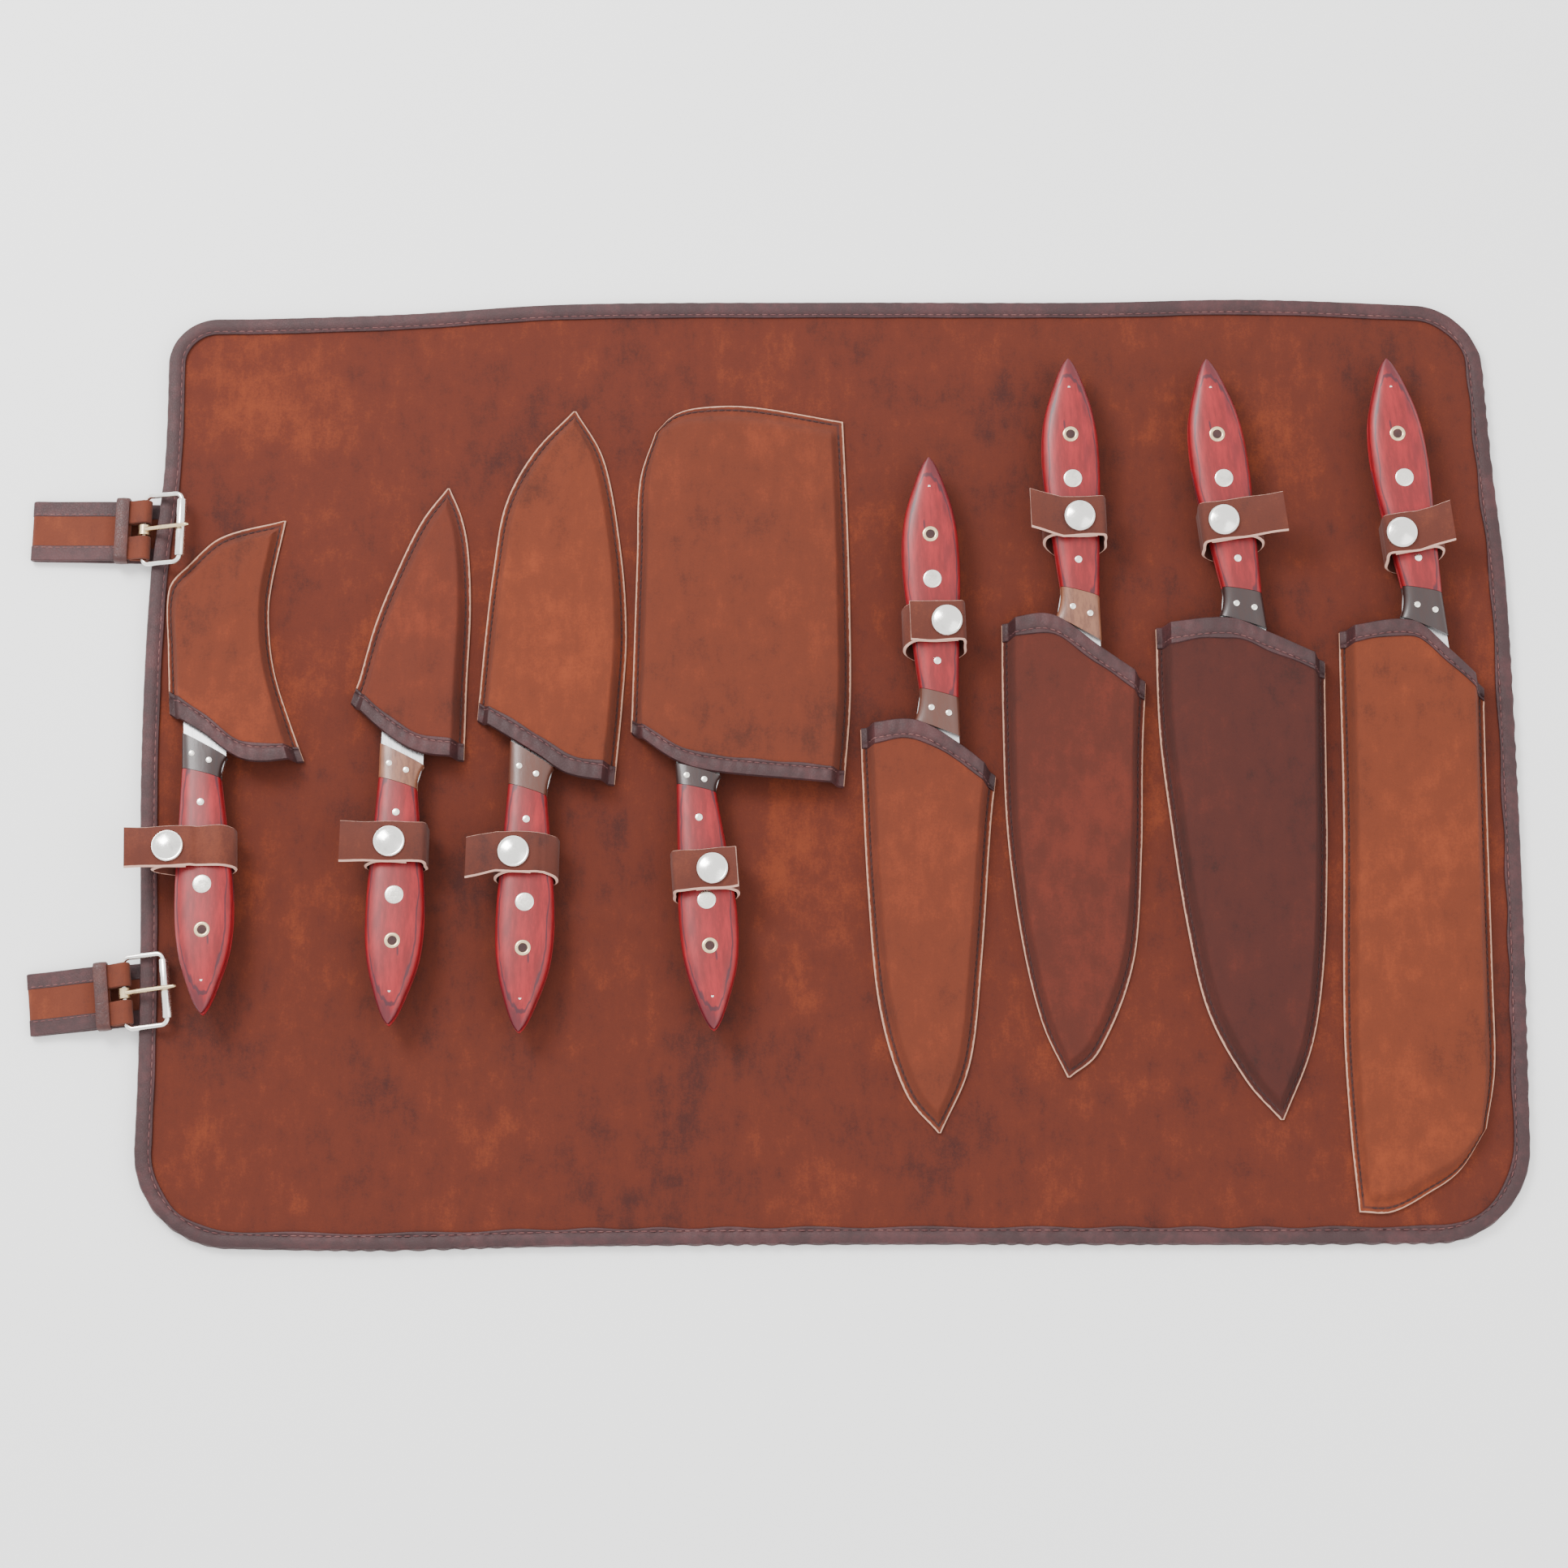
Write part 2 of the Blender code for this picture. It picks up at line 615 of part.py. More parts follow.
class Pocket:
    """A blade-shaped pocket: a plan patch between mouth, two sides and end, raised over the blade."""

    def __init__(self, layout, station, left):
        """Take the pocket's place on the panel from the layout."""
        self.layout = layout
        self.station = station
        self.shape = OUTLINES[station.outline]
        row_y = UP_ROW_Y if station.tip_up else DOWN_ROW_Y
        self.base_turn = math.radians(-90 if station.tip_up else 90)
        x = left if station.tip_up else left + station.width
        self.datum = Vector((x, row_y + station.rise - layout.shift))
        length = station.length
        inner = 1 - TIP_CLEAR / length
        first = (MOUTH_BINDING + BINDING_STEP) / length
        self.raised = [first + (inner - first) * i / POCKET_ROWS for i in range(POCKET_ROWS + 1)]
        self.mouth_rows = [0.0, MOUTH_BINDING / length]
        self.end_rows = [1 - (RIM + BINDING_STEP) / length, 1.0]

    def world(self, share):
        """Return the plan point of (across, along) shares."""
        across = share[0] * self.station.width
        along = share[1] * self.station.length
        if self.station.tip_up:
            return Vector((self.datum.x + across, self.datum.y + along))
        return Vector((self.datum.x - across, self.datum.y - along))

    def patch(self, s, t):
        """Return the plan point s of the way from mouth to end and t of the way across."""
        shape = self.shape
        mouth = smooth_at(shape.mouth, t)
        end = smooth_at(shape.end, t)
        spine = smooth_at(shape.spine, s)
        edge = smooth_at(shape.edge, s)
        corners = Vector(shape.mouth[0]) * (1 - s) * (1 - t) + Vector(shape.mouth[-1]) * (1 - s) * t
        corners += Vector(shape.end[0]) * s * (1 - t) + Vector(shape.end[-1]) * s * t
        return self.world(mouth * (1 - s) + end * s + spine * (1 - t) + edge * t - corners)

    def row_width(self, s):
        """Return the pocket's width at s."""
        return (self.patch(s, 1.0) - self.patch(s, 0.0)).length

    def columns(self, s):
        """Return the shares across at s: edges, rim, shoulders and middle."""
        width = self.row_width(s)
        fit = min(1.0, width / (2 * (SHOULDER + RIM / 2)))
        rim = RIM * fit / width
        shoulder = SHOULDER * fit / width
        return (0.0, rim, shoulder, 0.5, 1 - shoulder, 1 - rim, 1.0)

    def blade_row(self, s):
        """Return the two plan points of the blade at s, spine side first."""
        inset = min(BLADE_INSET / self.row_width(s), 0.46)
        return self.patch(s, inset), self.patch(s, 1 - inset)

    def mesh(self, blade_top):
        """Return the pocket's leather over a blade whose upper face has the height blade_top(x, y)."""
        upper = []
        lower = []
        rows = self.mouth_rows + self.raised + self.end_rows
        for s in rows:
            bound = s in self.mouth_rows
            flat = s in self.end_rows
            low_row = []
            high_row = []
            for index, t in enumerate(self.columns(s)):
                spot = self.patch(s, t)
                floor = self.layout.top(spot.x) + GAP
                thick = POCKET_T + (2 * BINDING_T if bound else 0.0)
                z = floor
                if not flat and 2 <= index <= 4:
                    z = blade_top(spot) + GAP + (0.0 if bound else BINDING_T)
                    z += DOME if index == 3 else 0.0
                    z = max(z, floor)
                low_row.append((spot.x, spot.y, z))
                high_row.append((spot.x, spot.y, z + thick))
            lower.append(low_row)
            upper.append(high_row)
        return closed_grid("pocket", upper, lower)


def handle_outline(share, inset=0.0):
    """Return the handle's (spine side, edge side) widths at a share of its length."""
    half = HANDLE_HALF_W * table_at(HANDLE_SECTIONS, share, "width") - inset
    sway = HANDLE_HALF_W * table_at(HANDLE_SECTIONS, share, "sway")
    return sway - half, sway + half


def neck_skew(share):
    """Return how far a section leans back per unit of width near the bolster."""
    return NECK_SKEW * max(0.0, 1 - share * 4)


def grip_section(at, skew, low_v, high_v, half_t, side):
    """Return one half of the grip's eight-sided section, above (side 1) or below the tang."""
    middle = (low_v + high_v) / 2
    half = (high_v - low_v) / 2
    near = TANG_T / 2 + GAP
    ring = (
        (-half, near),
        (-half, half_t * FACET_T),
        (-half * FACET_W, half_t),
        (half * FACET_W, half_t),
        (half, half_t * FACET_T),
        (half, near),
    )
    return [(at + skew * (middle + v), middle + v, side * w) for v, w in ring]


def make_handle_mesh():
    """Return both scales of a handle, joined by their pins and the lanyard eyelet's tube."""
    scales = []
    for side in (1, -1):
        sections = []
        for row in HANDLE_SECTIONS:
            low_v, high_v = handle_outline(row.at)
            u = row.at * HANDLE_L + (GAP if row.at == 0 else 0.0)
            half_t = HANDLE_HALF_T * row.thick
            sections.append(grip_section(u, neck_skew(row.at), low_v, high_v, half_t, side))
        scales.append(loft("scale", sections))
    bars = []
    for pin in HANDLE_PINS:
        reach = TANG_T / 2 + GAP + PIN_SEAT
        centre = (pin.at * HANDLE_L, pin_v(pin.at))
        bars.append(round_bar("pin", centre, pin.radius, pin.sides, -reach, reach))
    centre = (EYELET_AT * HANDLE_L, pin_v(EYELET_AT))
    bars.append(round_bar("eyelet", centre, EYELET_R, SIDES, -reach, reach))
    grip = combine(joined("scales", scales), joined("bars", bars), "UNION")
    bore = round_bar("bore", centre, BORE_R, SIDES, -2 * HANDLE_HALF_T, 2 * HANDLE_HALF_T)
    return combine(grip, bore, "DIFFERENCE")


def pin_v(share):
    """Return the middle of the handle's width at a share of its length."""
    return HANDLE_HALF_W * table_at(HANDLE_SECTIONS, share, "sway")


def bolster_line(station, at_front):
    """Return (x, skew, low y, high y) of the bolster's front or back line in the knife's frame."""
    half = HANDLE_HALF_W * HANDLE_SECTIONS[0].width
    if not at_front:
        return 0.0, NECK_SKEW, -half, half
    return -station.bolster, station.heel_skew, -half, half * (2 * BOLSTER_FLARE - 1)


def make_bolster_mesh(station):
    """Return both halves of a bolster, joined by two pins."""
    halves = []
    for side in (1, -1):
        sections = []
        for at_front in (False, True):
            x, skew, low_v, high_v = bolster_line(station, at_front)
            thick = HANDLE_HALF_T * HANDLE_SECTIONS[0].thick * (BOLSTER_SLIM if at_front else 1.0)
            sections.append(grip_section(x, skew, low_v, high_v, thick, side))
        halves.append(loft("bolster_half", sections))
    reach = TANG_T / 2 + GAP + PIN_SEAT
    bars = [
        round_bar("pin", bolster_pin(station, v), BOLSTER_PIN_R, SIDES_SMALL, -reach, reach)
        for v in (-BOLSTER_PIN_V, BOLSTER_PIN_V)
    ]
    return combine(joined("halves", halves), joined("bars", bars), "UNION")


def bolster_pin(station, v):
    """Return the plan place of a bolster pin at v across, in the knife's frame."""
    return (-station.bolster / 2 + v * (NECK_SKEW + station.heel_skew) / 2, v)


class Knife:
    """One knife: where it lies, how it tilts, and its blade with the full tang."""

    def __init__(self, layout, pocket):
        """Set the knife in its pocket, on its keeper, as low as the panel lets it lie."""
        self.layout = layout
        self.pocket = pocket
        station = pocket.station
        self.turn = pocket.base_turn + math.radians(station.lean)
        self.along = Vector((math.cos(self.turn), math.sin(self.turn)))
        self.across = Vector((-self.along.y, self.along.x))
        self.neck = self.neck_point()
        self.keeper_u = station.keeper_at * HANDLE_L
        self.keeper_half_t = HANDLE_HALF_T * max(
            table_at(HANDLE_SECTIONS, station.keeper_at + sign * KEEPER_W / 2 / HANDLE_L, "thick")
            for sign in (-1, 1)
        )
        rows = [pocket.blade_row(s) for s in [HEEL_INSET / station.length] + pocket.raised]
        self.blade_rows = [tuple(self.local(p) for p in row) for row in rows]
        spots = [self.plan(self.keeper_u, v) for v in handle_outline(station.keeper_at)]
        rest = max(layout.top(spot.x) for spot in spots)
        self.keeper_z = rest + 2 * GAP + KEEPER_T + KEEPER_SLACK + TILT_ROOM + self.keeper_half_t
        slopes = []
        for point in (p for row in rows for p in row):
            under = layout.top(point.x) + 2 * GAP + TANG_T / 2
            slopes.append((self.keeper_z - under) / (self.keeper_u - self.local(point).x))
        self.slope = min(slopes)
        flat = Matrix.Rotation(self.turn, 4, "Z") @ Matrix.Rotation(-math.atan(self.slope), 4, "Y")
        neck_z = self.keeper_z - self.slope * self.keeper_u
        self.matrix = Matrix.Translation((self.neck.x, self.neck.y, neck_z)) @ flat

    def neck_point(self):
        """Return the plan place of the knife's origin, with the bolster just clear of the mouth."""
        station = self.pocket.station
        mouth = self.pocket.patch(0.0, station.handle_at)
        x, skew, low_v, high_v = bolster_line(station, True)
        needed = []
        for i in range(MOUTH_SAMPLES + 1):
            offset = self.pocket.patch(0.0, i / MOUTH_SAMPLES) - mouth
            u = offset.dot(self.along)
            v = offset.dot(self.across)
            if low_v - MOUTH_GAP <= v <= high_v + MOUTH_GAP:
                needed.append(u - (x + skew * min(max(v, low_v), high_v)))
        return mouth + self.along * (max(needed) + MOUTH_GAP + station.steel)

    def plan(self, u, v):
        """Return the plan point of (u, v) in the knife's frame."""
        return self.neck + self.along * u + self.across * v

    def local(self, point):
        """Return a plan point in the knife's frame."""
        offset = point - self.neck
        return Vector((offset.dot(self.along), offset.dot(self.across)))

    def blade_top(self, point):
        """Return the height of the blade's upper plane over a plan point."""
        return self.keeper_z + self.slope * (self.local(point).x - self.keeper_u) + TANG_T / 2

    def blade_mesh(self):
        """Return the blade, flat-ground to its edge, with its full tang drilled for the pins."""
        rows = [(low, high, TANG_T, EDGE_T) for low, high in reversed(self.blade_rows)]
        heel_low, heel_high = self.blade_rows[0]
        station = self.pocket.station
        _, _, low_v, high_v = bolster_line(station, True)
        heel = heel_high - heel_low

        def on_heel(v):
            point = heel_low + heel * ((v - heel_low.y) / heel.y)
            return Vector((point.x + BINDING_STEP, point.y))

        rows.append((on_heel(low_v + TANG_INSET), on_heel(high_v - TANG_INSET), TANG_T, TANG_T))
        for at, lean, low, high in (bolster_line(station, True), bolster_line(station, False)):
            low += TANG_INSET
            high -= TANG_INSET
            rows.append((Vector((at + lean * low, low)), Vector((at + lean * high, high)), TANG_T, TANG_T))
        for row in HANDLE_SECTIONS[1:]:
            low, high = handle_outline(row.at, min(TANG_INSET, HANDLE_HALF_W * row.width / 2))
            u = row.at * HANDLE_L - (TANG_INSET if row.at == 1 else 0.0)
            skew = neck_skew(row.at)
            rows.append((Vector((u + skew * low, low)), Vector((u + skew * high, high)), TANG_T, TANG_T))
        upper = [[(a.x, a.y, ta / 2), (b.x, b.y, tb / 2)] for a, b, ta, tb in rows]
        lower = [[(a.x, a.y, -ta / 2), (b.x, b.y, -tb / 2)] for a, b, ta, tb in rows]
        plate = closed_grid("blade", upper, lower)
        holes = []
        for pin in HANDLE_PINS:
            centre = (pin.at * HANDLE_L, pin_v(pin.at))
            holes.append(round_bar("hole", centre, pin.radius + HOLE_ROOM, pin.sides, -TANG_T, TANG_T))
        eyelet = (EYELET_AT * HANDLE_L, pin_v(EYELET_AT))
        holes.append(round_bar("hole", eyelet, EYELET_R + HOLE_ROOM, SIDES, -TANG_T, TANG_T))
        for v in (-BOLSTER_PIN_V, BOLSTER_PIN_V):
            place_at = bolster_pin(station, v)
            holes.append(round_bar("hole", place_at, BOLSTER_PIN_R + HOLE_ROOM, SIDES_SMALL, -TANG_T, TANG_T))
        return combine(plate, joined("holes", holes), "DIFFERENCE")


class Keeper:
    """A leather keeper strap closed round a handle, with its snap."""

    def __init__(self, knife):
        """Work out the loop round the handle where the knife's keeper sits."""
        station = knife.pocket.station
        self.knife = knife
        low, high = handle_outline(station.keeper_at)
        wider = handle_outline(station.keeper_at + KEEPER_W / 2 / HANDLE_L)
        self.low = min(low, wider[0])
        self.high = max(high, wider[1])
        self.side = station.tail_side
        self.snap_v = station.snap_v
        self.tail = station.tail
        self.skew = station.skew
        ease = KEEPER_SLACK + GAP + KEEPER_T / 2
        self.face = knife.keeper_half_t + ease
        self.shoulder = knife.keeper_half_t * FACET_T
        self.reach = (self.high - self.low) / 2 + ease
        self.middle = (self.high + self.low) / 2
        self.facet = (self.high - self.low) / 2 * FACET_W + ease / 2

    def path(self):
        """Return the band's middle line, tail side positive, from its inner end round to the tail."""
        snap = (self.snap_v - self.middle) * self.side
        lap = KEEPER_T + GAP
        out = max(self.reach, snap + INNER_LAP)
        inner_end = max(snap - INNER_LAP, KEEPER_T + lap - self.reach)
        ramp = min(inner_end - lap, self.facet - lap)
        path = [
            (inner_end, self.face),
            (max(self.facet, out - self.reach + self.facet), self.face),
            (out, self.shoulder),
            (self.reach, -self.shoulder),
            (self.facet, -self.face),
            (-self.facet, -self.face),
            (-self.reach, -self.shoulder),
            (-self.reach, self.shoulder),
        ]
        if ramp - 2 * lap > -self.facet:
            path += [(-self.facet, self.face), (ramp - 2 * lap, self.face), (ramp, self.face + lap)]
        else:
            path += [(-self.reach, self.face - KEEPER_T), (KEEPER_T + GAP - self.reach, self.face + lap)]
        path += [(snap + INNER_LAP, self.face + lap), (snap + self.tail, self.face + lap + TAIL_CURL)]
        return path

    def snap_spot(self):
        """Return the snap's place on the band's top, in the knife's frame."""
        height = self.face + 1.5 * KEEPER_T + GAP
        return Vector((self.knife.keeper_u, self.snap_v, height))

    def mesh(self):
        """Return the band with the hole for the snap's post through both its layers."""
        snap = (self.snap_v - self.middle) * self.side
        limit = snap + INNER_LAP

        def spot(v, w, end):
            lean = self.skew * max(0.0, v - limit)
            return (self.knife.keeper_u + end + lean, self.middle + v * self.side, w)

        half = KEEPER_W / 2
        band = prism("keeper", thick_path(self.path(), KEEPER_T), spot, -half, half)
        centre = (self.knife.keeper_u, self.snap_v)
        low = self.face - KEEPER_T
        hole = round_bar("hole", centre, POST_R + HOLE_ROOM, SIDES_SMALL, low, self.face + 3 * KEEPER_T)
        return combine(band, hole, "DIFFERENCE")


def make_snap_mesh():
    """Return a domed snap cap with its post, turned round Z, its rim's underside at height zero."""
    depth = 2 * KEEPER_T + GAP
    profile = (
        (SNAP_R * 0.62, SNAP_H),
        (SNAP_R, SNAP_RIM_H),
        (SNAP_R, GAP),
        (POST_R, GAP),
        (POST_R, -depth),
    )
    sections = []
    for radius, z in profile:
        turns = [2 * math.pi * i / SIDES for i in range(SIDES)]
        sections.append([(radius * math.cos(a), radius * math.sin(a), z) for a in turns])
    return loft("snap", sections)


class StrapBuckle:
    """A closing strap with its leather loop and roller buckle, in a frame on the heel bar's axis."""

    def __init__(self, layout, row):
        """Work out the buckle's place over the panel's left edge and the heights of its pieces."""
        self.row = row
        edge_y = row.y * layout.height
        edge_x = layout.left_x(edge_y)
        turn = math.radians(row.turn)
        self.edge_gap = HEEL_STANDOFF + GAP + BINDING_T + STRAP_W / 2 * abs(math.sin(turn))
        self.heel = Vector((edge_x - self.edge_gap, edge_y))
        self.wrap = WIRE_R + WRAP_ROOM + STRAP_T / 2
        pitch = math.radians(row.pitch)
        binding_top = layout.top(edge_x) + GAP + BINDING_T
        over_edge = binding_top + GAP + WIRE_R / math.cos(pitch) - HEEL_STANDOFF * math.tan(pitch)
        stack = TABLE_Z + STRAP_T + 2 * GAP + LOOP_T + GAP + STRAP_T / 2 + self.wrap
        self.heel_z = max(over_edge, stack)
        self.lower_z = TABLE_Z + STRAP_T / 2
        self.upper_z = self.heel_z - self.wrap
        self.back_z = self.upper_z + STRAP_T + LAYER_ROOM
        self.flat = Matrix.Translation((self.heel.x, self.heel.y, 0.0)) @ Matrix.Rotation(turn, 4, "Z")

    def strap_mesh(self):
        """Return the strap: tucked end, fold at the far left, ramp, wrap round the bar and turned end."""
        bend = (STRAP_T + LAYER_ROOM) / 2
        far = -self.row.length + bend
        path = [(self.edge_gap + STRAP_TUCK, self.lower_z), (far, self.lower_z)]
        for degrees in (-135, 180, 135):
            turn = math.radians(degrees)
            path.append((far + bend * math.cos(turn), self.lower_z + bend + bend * math.sin(turn)))
        path += [
            (far, self.lower_z + 2 * bend),
            (far + FLAT_RUN / 2, self.lower_z + 2 * bend),
            (-FLAT_RUN, self.upper_z),
            (0.0, self.upper_z),
        ]
        for degrees in (-45, 0, 45, 90, 112):
            turn = math.radians(degrees)
            path.append((self.wrap * math.cos(turn), self.heel_z + self.wrap * math.sin(turn)))
        path += [(-WRAP_RUN * self.wrap, self.back_z), (-FOLD_BACK, self.back_z)]
        half = STRAP_W / 2
        band = prism("strap", thick_path(path, STRAP_T), lambda x, z, y: (x, y, z), -half, half)
        reach = PRONG_BASE * math.sqrt(2) + 2 * GAP
        corners = [(-reach, -2 * reach), (2 * reach, -2 * reach), (2 * reach, 2 * reach), (-reach, 2 * reach)]
        slot = prism(
            "slot", corners, lambda x, z, y: (x, y, self.heel_z + z), -SLOT_HALF_W, SLOT_HALF_W
        )
        return combine(band, slot, "DIFFERENCE")

    def loop_mesh(self):
        """Return the leather loop that holds the turned end down."""
        half_y = STRAP_W / 2 + GAP + LOOP_T / 2
        low = self.upper_z - STRAP_T / 2 - GAP - LOOP_T / 2
        high = self.back_z + STRAP_T / 2 + GAP + LOOP_T / 2
        start = -FOLD_BACK + GAP
        round_path = ((-half_y, low), (half_y, low), (half_y, high), (-half_y, high))
        sections = []
        for y, z in round_path:
            out_y = math.copysign(LOOP_T / 2, y)
            out_z = math.copysign(LOOP_T / 2, z - (low + high) / 2)
            section = []
            for sign, x in ((1, start), (1, start + LOOP_W), (-1, start + LOOP_W), (-1, start)):
                section.append((x, y + sign * out_y, z + sign * out_z))
            sections.append(section)
        return ring_loft("loop", sections)

    def heel_matrix(self):
        """Return the frame of the buckle's metal: the heel bar's axis, pitched as the buckle lies."""
        lift = Matrix.Translation((0.0, 0.0, self.heel_z))
        return self.flat @ lift @ Matrix.Rotation(-math.radians(self.row.pitch), 4, "Y")


def make_frame_mesh():
    """Return the buckle's wire frame round the heel bar, sides and outer bar."""
    near = 0.0
    far = FRAME_L
    half = FRAME_HALF_W
    cut = FRAME_CORNER
    path = [
        (near, -half + cut), (near, half - cut), (near + cut, half), (far - cut, half),
        (far, half - cut), (far, -half + cut), (far - cut, -half), (near + cut, -half),
    ]
    sections = []
    for i, (x, y) in enumerate(path):
        before = (Vector((x, y)) - Vector(path[i - 1])).normalized()
        after = (Vector(path[(i + 1) % len(path)]) - Vector((x, y))).normalized()
        middle = (before + after).normalized()
        outward = Vector((-middle.y, middle.x))
        reach = WIRE_R / outward.dot(Vector((-before.y, before.x)))
        section = []
        for step in range(SIDES):
            turn = 2 * math.pi * step / SIDES
            spot = Vector((x, y)) + outward * reach * math.cos(turn)
            section.append((spot.x, spot.y, WIRE_R * math.sin(turn)))
        sections.append(section)
    return ring_loft("buckle_frame", sections)


def make_roller_mesh():
    """Return the loose tube on the buckle's outer bar, its axis along Y through the origin."""
    sections = []
    for step in range(SIDES):
        turn = 2 * math.pi * step / SIDES
        section = []
        for radius, y in (
            (WIRE_R + BORE_ROOM, -ROLLER_L / 2), (ROLLER_R, -ROLLER_L / 2),
            (ROLLER_R, ROLLER_L / 2), (WIRE_R + BORE_ROOM, ROLLER_L / 2),
        ):
            section.append((radius * math.cos(turn), y, radius * math.sin(turn)))
        sections.append(section)
    return ring_loft("buckle_roller", sections)


def make_prong_mesh():
    """Return the prong: a folded base round the heel bar and a thin tongue over the roller."""
    box = PRONG_BASE
    corners = [(-box, -box), (box, -box), (box, box), (-box, box)]
    base = prism("prong", corners, lambda x, z, y: (x, y, z), -PRONG_HALF_W, PRONG_HALF_W)
    over = ROLLER_R + GAP + PRONG_R
    tongue_path = (
        (box * 0.7, box - 1.2 * PRONG_R, 1.0),
        (FRAME_L, over, 0.95),
        (PRONG_L - PRONG_R, over + PRONG_R / 2, 0.8),
        (PRONG_L, over, 0.3),
    )
    sections = []
    for x, z, share in tongue_path:
        section = []
        for step in range(SIDES_SMALL):
            turn = 2 * math.pi * step / SIDES_SMALL
            section.append((x, PRONG_R * share * math.cos(turn), z + PRONG_R * share * math.sin(turn)))
        sections.append(section)
    whole = combine(base, loft("tongue", sections), "UNION")
    ring = [2 * math.pi * (step + 0.5) / SIDES for step in range(SIDES)]
    bore = [((WIRE_R + BORE_ROOM) * math.cos(a), (WIRE_R + BORE_ROOM) * math.sin(a)) for a in ring]
    cutter = prism("bore", bore, lambda x, z, y: (x, y, z), -2 * PRONG_HALF_W, 2 * PRONG_HALF_W)
    return combine(whole, cutter, "DIFFERENCE")


def add_empty(name, matrix):
    """Add an empty that holds a sub-assembly's frame."""
    empty = bpy.data.objects.new(name, None)
    bpy.context.scene.collection.objects.link(empty)
    empty.matrix_world = matrix
    return empty


def build_stations(layout):
    """Make every pocket, knife, keeper and snap."""
    handle = make_handle_mesh()
    snap = make_snap_mesh()
    for number, (station, left) in enumerate(zip(STATIONS, layout.lefts), start=1):
        pocket = Pocket(layout, station, left)
        knife = Knife(layout, pocket)
        keeper = Keeper(knife)
        frame = add_empty(f"knife_{number}", knife.matrix)
        place(f"pocket_{number}", pocket.mesh(knife.blade_top), "pocket_suede")
        place(f"blade_{number}", knife.blade_mesh(), "blade_steel", parent=frame)
        place(f"handle_{number}", handle, "red_wood", parent=frame)
        place(f"bolster_{number}", make_bolster_mesh(station), "bolster_brown", parent=frame)
        place(f"keeper_{number}", keeper.mesh(), "keeper_leather", parent=frame)
        place(f"snap_{number}", snap, "nickel", Matrix.Translation(keeper.snap_spot()), parent=frame)


def build_straps(layout):
    """Make both closing straps with their loops and buckles."""
    frame_mesh = make_frame_mesh()
    roller_mesh = make_roller_mesh()
    prong_mesh = make_prong_mesh()
    for row in BUCKLES:
        strap = StrapBuckle(layout, row)
        place(f"strap_{row.name}", strap.strap_mesh(), "strap_suede", strap.flat)
        place(f"strap_loop_{row.name}", strap.loop_mesh(), "loop_leather", strap.flat)
        hinge = add_empty(f"buckle_{row.name}", strap.heel_matrix())
        place(f"buckle_frame_{row.name}", frame_mesh, "nickel", parent=hinge)
        place(f"buckle_prong_{row.name}", prong_mesh, "nickel", parent=hinge)
        place(f"buckle_roller_{row.name}", roller_mesh, "nickel", Matrix.Translation((FRAME_L, 0, 0)), hinge)


def centre_on_table():
    """Hang every loose piece on one root and bring the middle of them all, at its lowest, to the origin."""
    bpy.context.view_layer.update()
    corners = []
    for obj in bpy.data.objects:
        if obj.type == "MESH":
            corners += [obj.matrix_world @ vertex.co for vertex in obj.data.vertices]
    low = Vector([min(point[axis] for point in corners) for axis in range(3)])
    high = Vector([max(point[axis] for point in corners) for axis in range(3)])
    loose = [obj for obj in bpy.data.objects if obj.parent is None]
    root = add_empty("knife_roll", Matrix.Identity(4))
    for obj in loose:
        obj.parent = root
    root.location = (-(low.x + high.x) / 2, -(low.y + high.y) / 2, -low.z)


def main():
    """Clear the scene and build the knife roll."""
    for obj in list(bpy.data.objects):
        bpy.data.objects.remove(obj)
    layout = Layout()
    grid = panel_grid(layout)
    build_panel(layout, grid)
    build_edge_binding(layout, grid)
    build_stations(layout)
    build_straps(layout)
    centre_on_table()


main()
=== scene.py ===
"""Dresses the opened chef knife roll: suede panel, bound edges, filled pockets, keepers and strap buckles.

Sizes are in metres in the roll's own layout, whose middle is the middle of the panel's underside. The frame
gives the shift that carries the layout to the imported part.
"""
import logging
import math
from dataclasses import dataclass, field
from enum import Enum

import bpy
import numpy as np
from mathutils import Matrix, Vector


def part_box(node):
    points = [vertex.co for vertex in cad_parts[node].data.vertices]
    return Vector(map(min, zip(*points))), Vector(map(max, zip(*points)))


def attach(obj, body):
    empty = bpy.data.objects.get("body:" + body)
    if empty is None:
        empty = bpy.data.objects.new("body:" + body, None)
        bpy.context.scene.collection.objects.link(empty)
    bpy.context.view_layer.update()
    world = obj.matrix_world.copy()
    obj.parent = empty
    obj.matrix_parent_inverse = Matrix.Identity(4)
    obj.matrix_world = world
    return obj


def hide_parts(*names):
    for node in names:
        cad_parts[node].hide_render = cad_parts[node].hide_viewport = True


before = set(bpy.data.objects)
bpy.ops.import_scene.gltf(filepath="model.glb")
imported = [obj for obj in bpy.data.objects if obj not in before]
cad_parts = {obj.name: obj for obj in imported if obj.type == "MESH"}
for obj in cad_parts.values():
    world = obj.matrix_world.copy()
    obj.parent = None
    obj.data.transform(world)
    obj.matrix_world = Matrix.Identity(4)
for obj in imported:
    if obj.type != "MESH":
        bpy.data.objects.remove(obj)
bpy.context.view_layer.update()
LOG = logging.getLogger("knife_roll")
Array = np.ndarray

